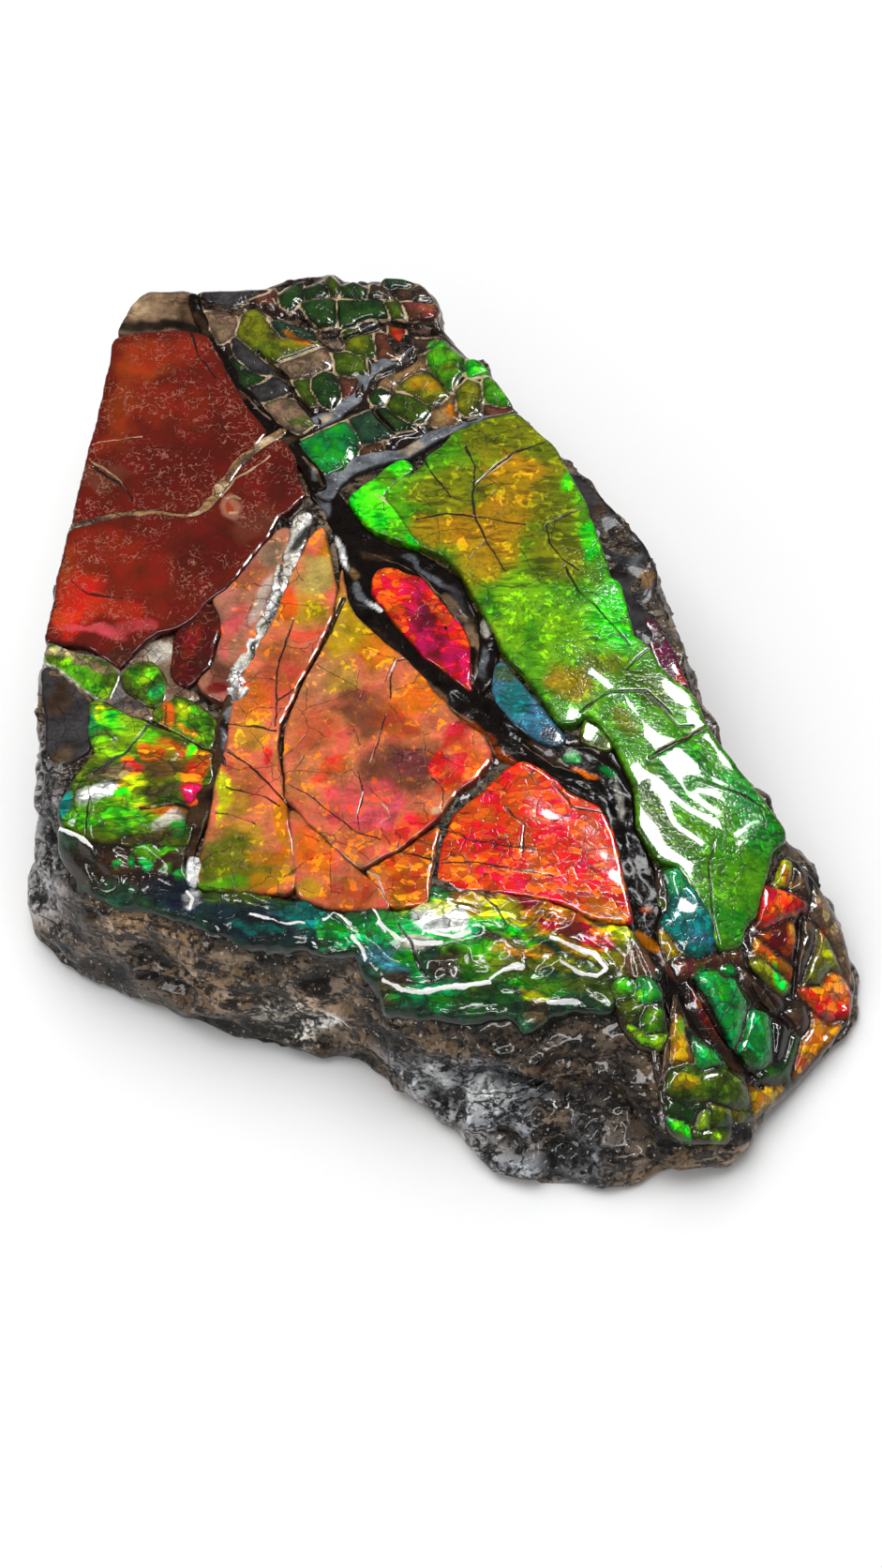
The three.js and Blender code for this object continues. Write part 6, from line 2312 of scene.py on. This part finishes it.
        (47.5, -59, 2.5, 1.4, Hue.FOREST), (53, -46, 1, 2.2, Hue.NEON, 25, 0.95),
        (54, -30, 0.8, 1.2, Hue.ORANGE, 0, 0.7), (51, -36.5, 1.2, 2, Hue.SCARLET),
        (55, -39, 0.9, 2.4, Hue.AMBER), (50.5, -40.5, 1.2, 1.2, Hue.RUST),
        (61, -40, 1.4, 0.7, Hue.LEMON, 0, 0.9), (60.5, -37.5, 1.2, 1, Hue.ORANGE, 0, 0.7),
        (62.5, -48, 1.2, 2.5, Hue.BLAZE, -30), (59.5, -49, 1.8, 1.8, Hue.SCARLET),
        (37, -58, 1, 1.4, Hue.LIME, 0, 0.9), (37, -65, 2, 1.2, Hue.HONEY, 0, 0.6),
        (43, -65, 3, 1.4, Hue.FOREST, 0, 0.5), (42, -72, 1, 0.8, Hue.LIME),
        (43.5, -68, 1.4, 0.5, Hue.LEMON, 0, 0.5),
    ), cracks=(
        Crack(((36.5, -32.5), (39.5, -35.5), (42, -39.5), (43, -44)), 0.5, 0.6),
        Crack(((47, -43), (47.5, -45.5), (52.5, -50.5), (55.5, -52)), 0.5, 0.6),
        Crack(((48, -48.5), (49.5, -50.5), (54.5, -52.5)), 0.5, 0.5),
        Crack(((38.5, -50), (40.5, -53.5), (43, -57), (46, -60), (49.5, -62.5)), 0.8, 0.8),
        Crack(((56.5, -35), (55, -47)), 0.6, 0.6),
    ), lift=-0.45, grow=0.3, relief=0.45, relief_size=6.0, rim=Hue.BARK, dome=0.5),
    Mosaic("leaf_mosaic", Marks.FACETS, Hue.BARK, outline=(
        (25, -51.5), (28.5, -50), (32, -51), (33.5, -53), (34.5, -60), (33, -61.5), (30, -60.5),
        (27.5, -57.5),
    ), tiles=(
        Tile(((26, -52), (28.5, -51), (30, -52.5), (29, -54), (26.5, -54)), Hue.LEAF, 0.2),
        Tile(((29.5, -51.5), (32, -51.5), (33.5, -53.5), (32, -55.5), (30, -54.5)), Hue.JADE, 0.3),
        Tile(((27, -54.5), (29.5, -54.5), (31.5, -56), (30, -57.5), (28, -57)), Hue.MOSS, 0.2),
        Tile((
            (30.5, -56), (32.5, -55), (33.5, -56), (33.5, -58.5), (31.5, -59), (30, -57.5),
        ), Hue.LEAF, 0.3),
        Tile(((28.5, -58), (31, -59.5), (34, -59.5), (33, -61), (30.5, -60)), Hue.LIME),
    ), flushes=(
        (30, -53.5, 1.2, 1, Hue.LIME, 0, 0.7), (32.5, -57.5, 1.4, 1.4, Hue.MOSS, 0, 0.6),
    ), lift=-0.2, relief=0.35, relief_size=3.5, dome=0.4),
    CrackFill("crack_fill", Marks.STONY, Hue.PITCH, outline=(
        (-21.5, 33), (-19, 30), (-17, 23.5), (-15.5, 12), (-9.5, 2.5), (0.5, -9.5), (4, -12), (7, -15),
        (10.5, -17), (15, -18.5), (18.5, -21), (23, -23), (25.5, -25.5), (27, -30.5), (29, -43),
        (30.5, -47), (33, -50.5), (36, -57.5), (39.5, -60.5), (43, -62.5), (47, -64), (49.5, -63),
        (41.5, -56), (38.5, -49.5), (36, -47.5), (33.5, -44.5), (33, -34.5), (30.5, -28.5), (29.5, -24.5),
        (29.5, -20.5), (28.5, -16.5), (26.5, -14), (20.5, -14), (17.5, -13.5), (13.5, -12), (9, -7.5),
        (5.5, -5.5), (5, 1.5), (5.5, 8), (2.5, 15.5), (-1, 19), (-5, 21.5), (-9.5, 23), (-13, 26),
        (-18.5, 34),
    ), course=(
        (-19.5, 31.5), (-15.5, 19), (-12.5, 12), (-6.5, 3), (-0.5, -3), (5.5, -7.5), (11, -12), (17, -16),
        (24.5, -19.5), (28, -25.5), (29.5, -34.5), (31.5, -42.5), (34.5, -48.5), (38.5, -55), (44, -60),
        (47.5, -63),
    ), flushes=(
        # The chalk patch at the end of the next line is a painted glint.
        (-19, 31.5, 1.4, 3, Hue.ASH, 0, 0.6), (-16.5, 21, 0.7, 4, Hue.CHALK, 20, 0.9),
        (-14.5, 17.5, 1.2, 1.6, Hue.TAN, 0, 0.7), (-10.5, 21, 3, 0.8, Hue.BARK, -20),
        (-3, 17.5, 5, 0.7, Hue.ASH, -40, 0.6), (2, 12, 1, 4, Hue.SLATE, 25, 0.7),
        (5, 3, 0.8, 6, Hue.MUD, 5), (1.5, 11, 0.8, 4, Hue.TAUPE, 40, 0.7),
        (4.5, 5.5, 0.9, 3, Hue.TAUPE, 15, 0.9), (5.5, -2.5, 0.6, 3, Hue.BONE, 0, 0.7),
        # The chalk patch at the start of the next line is a painted glint.
        (-11.5, 11, 0.4, 1.6, Hue.CHALK, 50, 0.9), (-13.5, 14, 0.6, 2.4, Hue.ASH, 20, 0.7),
        (-7.5, 2.5, 6, 0.7, Hue.MUD, -50, 0.6), (-1, -6, 5, 0.6, Hue.TAUPE, -45, 0.7),
        (-6.5, 1.5, 6, 1, Hue.PITCH, -48, 0.9), (0, -7.5, 4, 0.8, Hue.COCOA, -48, 0.7),
        (4.5, -11, 4, 0.7, Hue.SIENNA, -40, 0.5), (8, -16, 4, 1, Hue.SIENNA, -40, 0.7),
        (17, -15.5, 4, 0.7, Hue.BARK, -30, 0.6), (20, -16, 1.2, 0.6, Hue.JADE, -20, 0.9),
        (22, -18.5, 2.5, 0.6, Hue.ORANGE, -20, 0.9), (25.5, -17.5, 1.8, 1, Hue.EMERALD, -30, 0.9),
        (27.5, -22.5, 0.8, 3, Hue.BONE, 10, 0.5), (32, -40.5, 1.2, 1.2, Hue.SIENNA),
        (31.5, -46, 1.8, 1, Hue.AMBER, -30, 0.7), (35, -49, 2.5, 1, Hue.COCOA, -30, 0.7),
        (44.5, -60.5, 5, 1, Hue.BARK, -50),
    ), veins=(
        Vein(((-11.5, 21), (-8, 19.5), (-4, 17), (-0.5, 13), (2, 8), (4, 3), (4.5, -3)), 0.25),
        Vein(((-4, -2.5), (-0.5, -7), (7, -13.5), (8, -16)), 0.22),
        Vein(((-1, -6), (2, -8.5), (4.5, -10)), 0.25),
        Vein(((12.5, -14), (17, -17.5), (20.5, -18.5)), 0.2),
        Vein(((36, -48), (38.5, -47.5), (40, -46.5)), 0.3),
    ), lift=-0.95, grow=0.6, relief=0.35, relief_size=4.0, rim_width=0.0, thickness=1.6),
)


# ---- The stone's colours ----

CRACKLE_RUN: tuple[Point, ...] = ((-37, 68), (-27, 67), (-17.5, 69), (-5.5, 69), (1, 57.5), (4, 52))

STAINS: tuple[Stain, ...] = (
    Stain((-44.5, -38.5, 20), (14, 8, 4), Hue.TAN, 0.7), Stain((-36, -43, 14), (12, 8, 6), Hue.TAUPE, 0.4),
    Stain((-21, -52, 12), (7, 6, 4), Hue.TAUPE, 0.8), Stain((-0.5, -59, 20), (16, 6, 4), Hue.MUD, 0.8),
    Stain((17.5, -58.5, 14), (13, 10, 7), Hue.BARK, 0.7), Stain((4, -65, 9), (20, 12, 7), Hue.ASH, 0.9),
    Stain((17, -70.5, 4), (12, 10, 6), Hue.ASH, 0.9), Stain((-6.5, -61, 12), (14, 6, 3), Hue.PITCH, 0.6),
    Stain((24.5, -64.5, 8), (14, 14, 12), Hue.PITCH, 0.75),
    Stain((18.5, -59, 16), (9, 7, 6), Hue.MUD, 0.7), Stain((-64, -20.5, 16), (8, 20, 14), Hue.ASH, 0.6),
    Stain((-58.5, -31.5, 28), (5, 8, 3), Hue.PITCH, 0.9),
    Stain((-33, -46.5, 8), (14, 8, 5), Hue.BARK, 0.7), Stain((-52.5, -38, 8), (14, 10, 6), Hue.SLATE, 0.5),
    Stain((-59, -37, 4), (14, 7, 4), Hue.PITCH, 0.6), Stain((-46, -43, 3), (14, 7, 4), Hue.PITCH, 0.6),
    Stain((-35, -48.5, 3), (10, 6, 4), Hue.PITCH, 0.7),
    Stain((-22.5, -50.5, 9), (7, 6, 5), Hue.BONE, 0.55),
    Stain((-18.5, -51.5, 9), (3, 4, 4), Hue.CHALK, 0.5), Stain((-26, -52, 2), (9, 5, 3), Hue.PITCH, 0.9),
    Stain((-17.5, -53, 2), (9, 5, 3), Hue.PITCH, 0.8), Stain((-1.5, -62, 9), (6, 4, 4), Hue.CHALK, 0.2),
    Stain((5.5, -65.5, 7), (7, 4, 4), Hue.CHALK, 0.35), Stain((11, -68.5, 3), (6, 5, 4), Hue.MUD, 0.9),
    Stain((16, -67, 6), (5, 6, 5), Hue.MUD, 0.9), Stain((19, -70.5, 3), (6, 6, 5), Hue.PITCH, 0.9),
    Stain((50.0, 20.0, 8.0), (20.0, 40.0, 10.0), Hue.SLATE, 0.4),
    Stain((0.0, 70.0, 14.0), (50.0, 14.0, 10.0), Hue.SLATE, 0.4),
)


@dataclass(frozen=True)
class Specimen:
    """The whole specimen: the stone, and the plates, seams and tiled fields on it.

    Attributes:
        stone: The stone.
        plates: What lies on it, in the order of making.
    """

    stone: StoneMatrix
    plates: Sequence[Plate]

    def build(self) -> None:
        """Builds every piece in order."""
        finishes = {finish.marks: finish.material() for finish in FINISHES}
        self.stone.build(StoneFinish().material())
        for plate in self.plates:
            plate.build(finishes)


def main() -> None:
    """Builds the studio and the specimen."""
    logging.basicConfig(level=logging.INFO, format="%(name)s: %(message)s")
    Studio().build()
    Specimen(StoneMatrix(STAINS), (*PLATES, FOLD_BAND, *SEAMS, *FILLINGS)).build()
    LOG.info("sizes written")


if __name__ == "__main__":
    main()
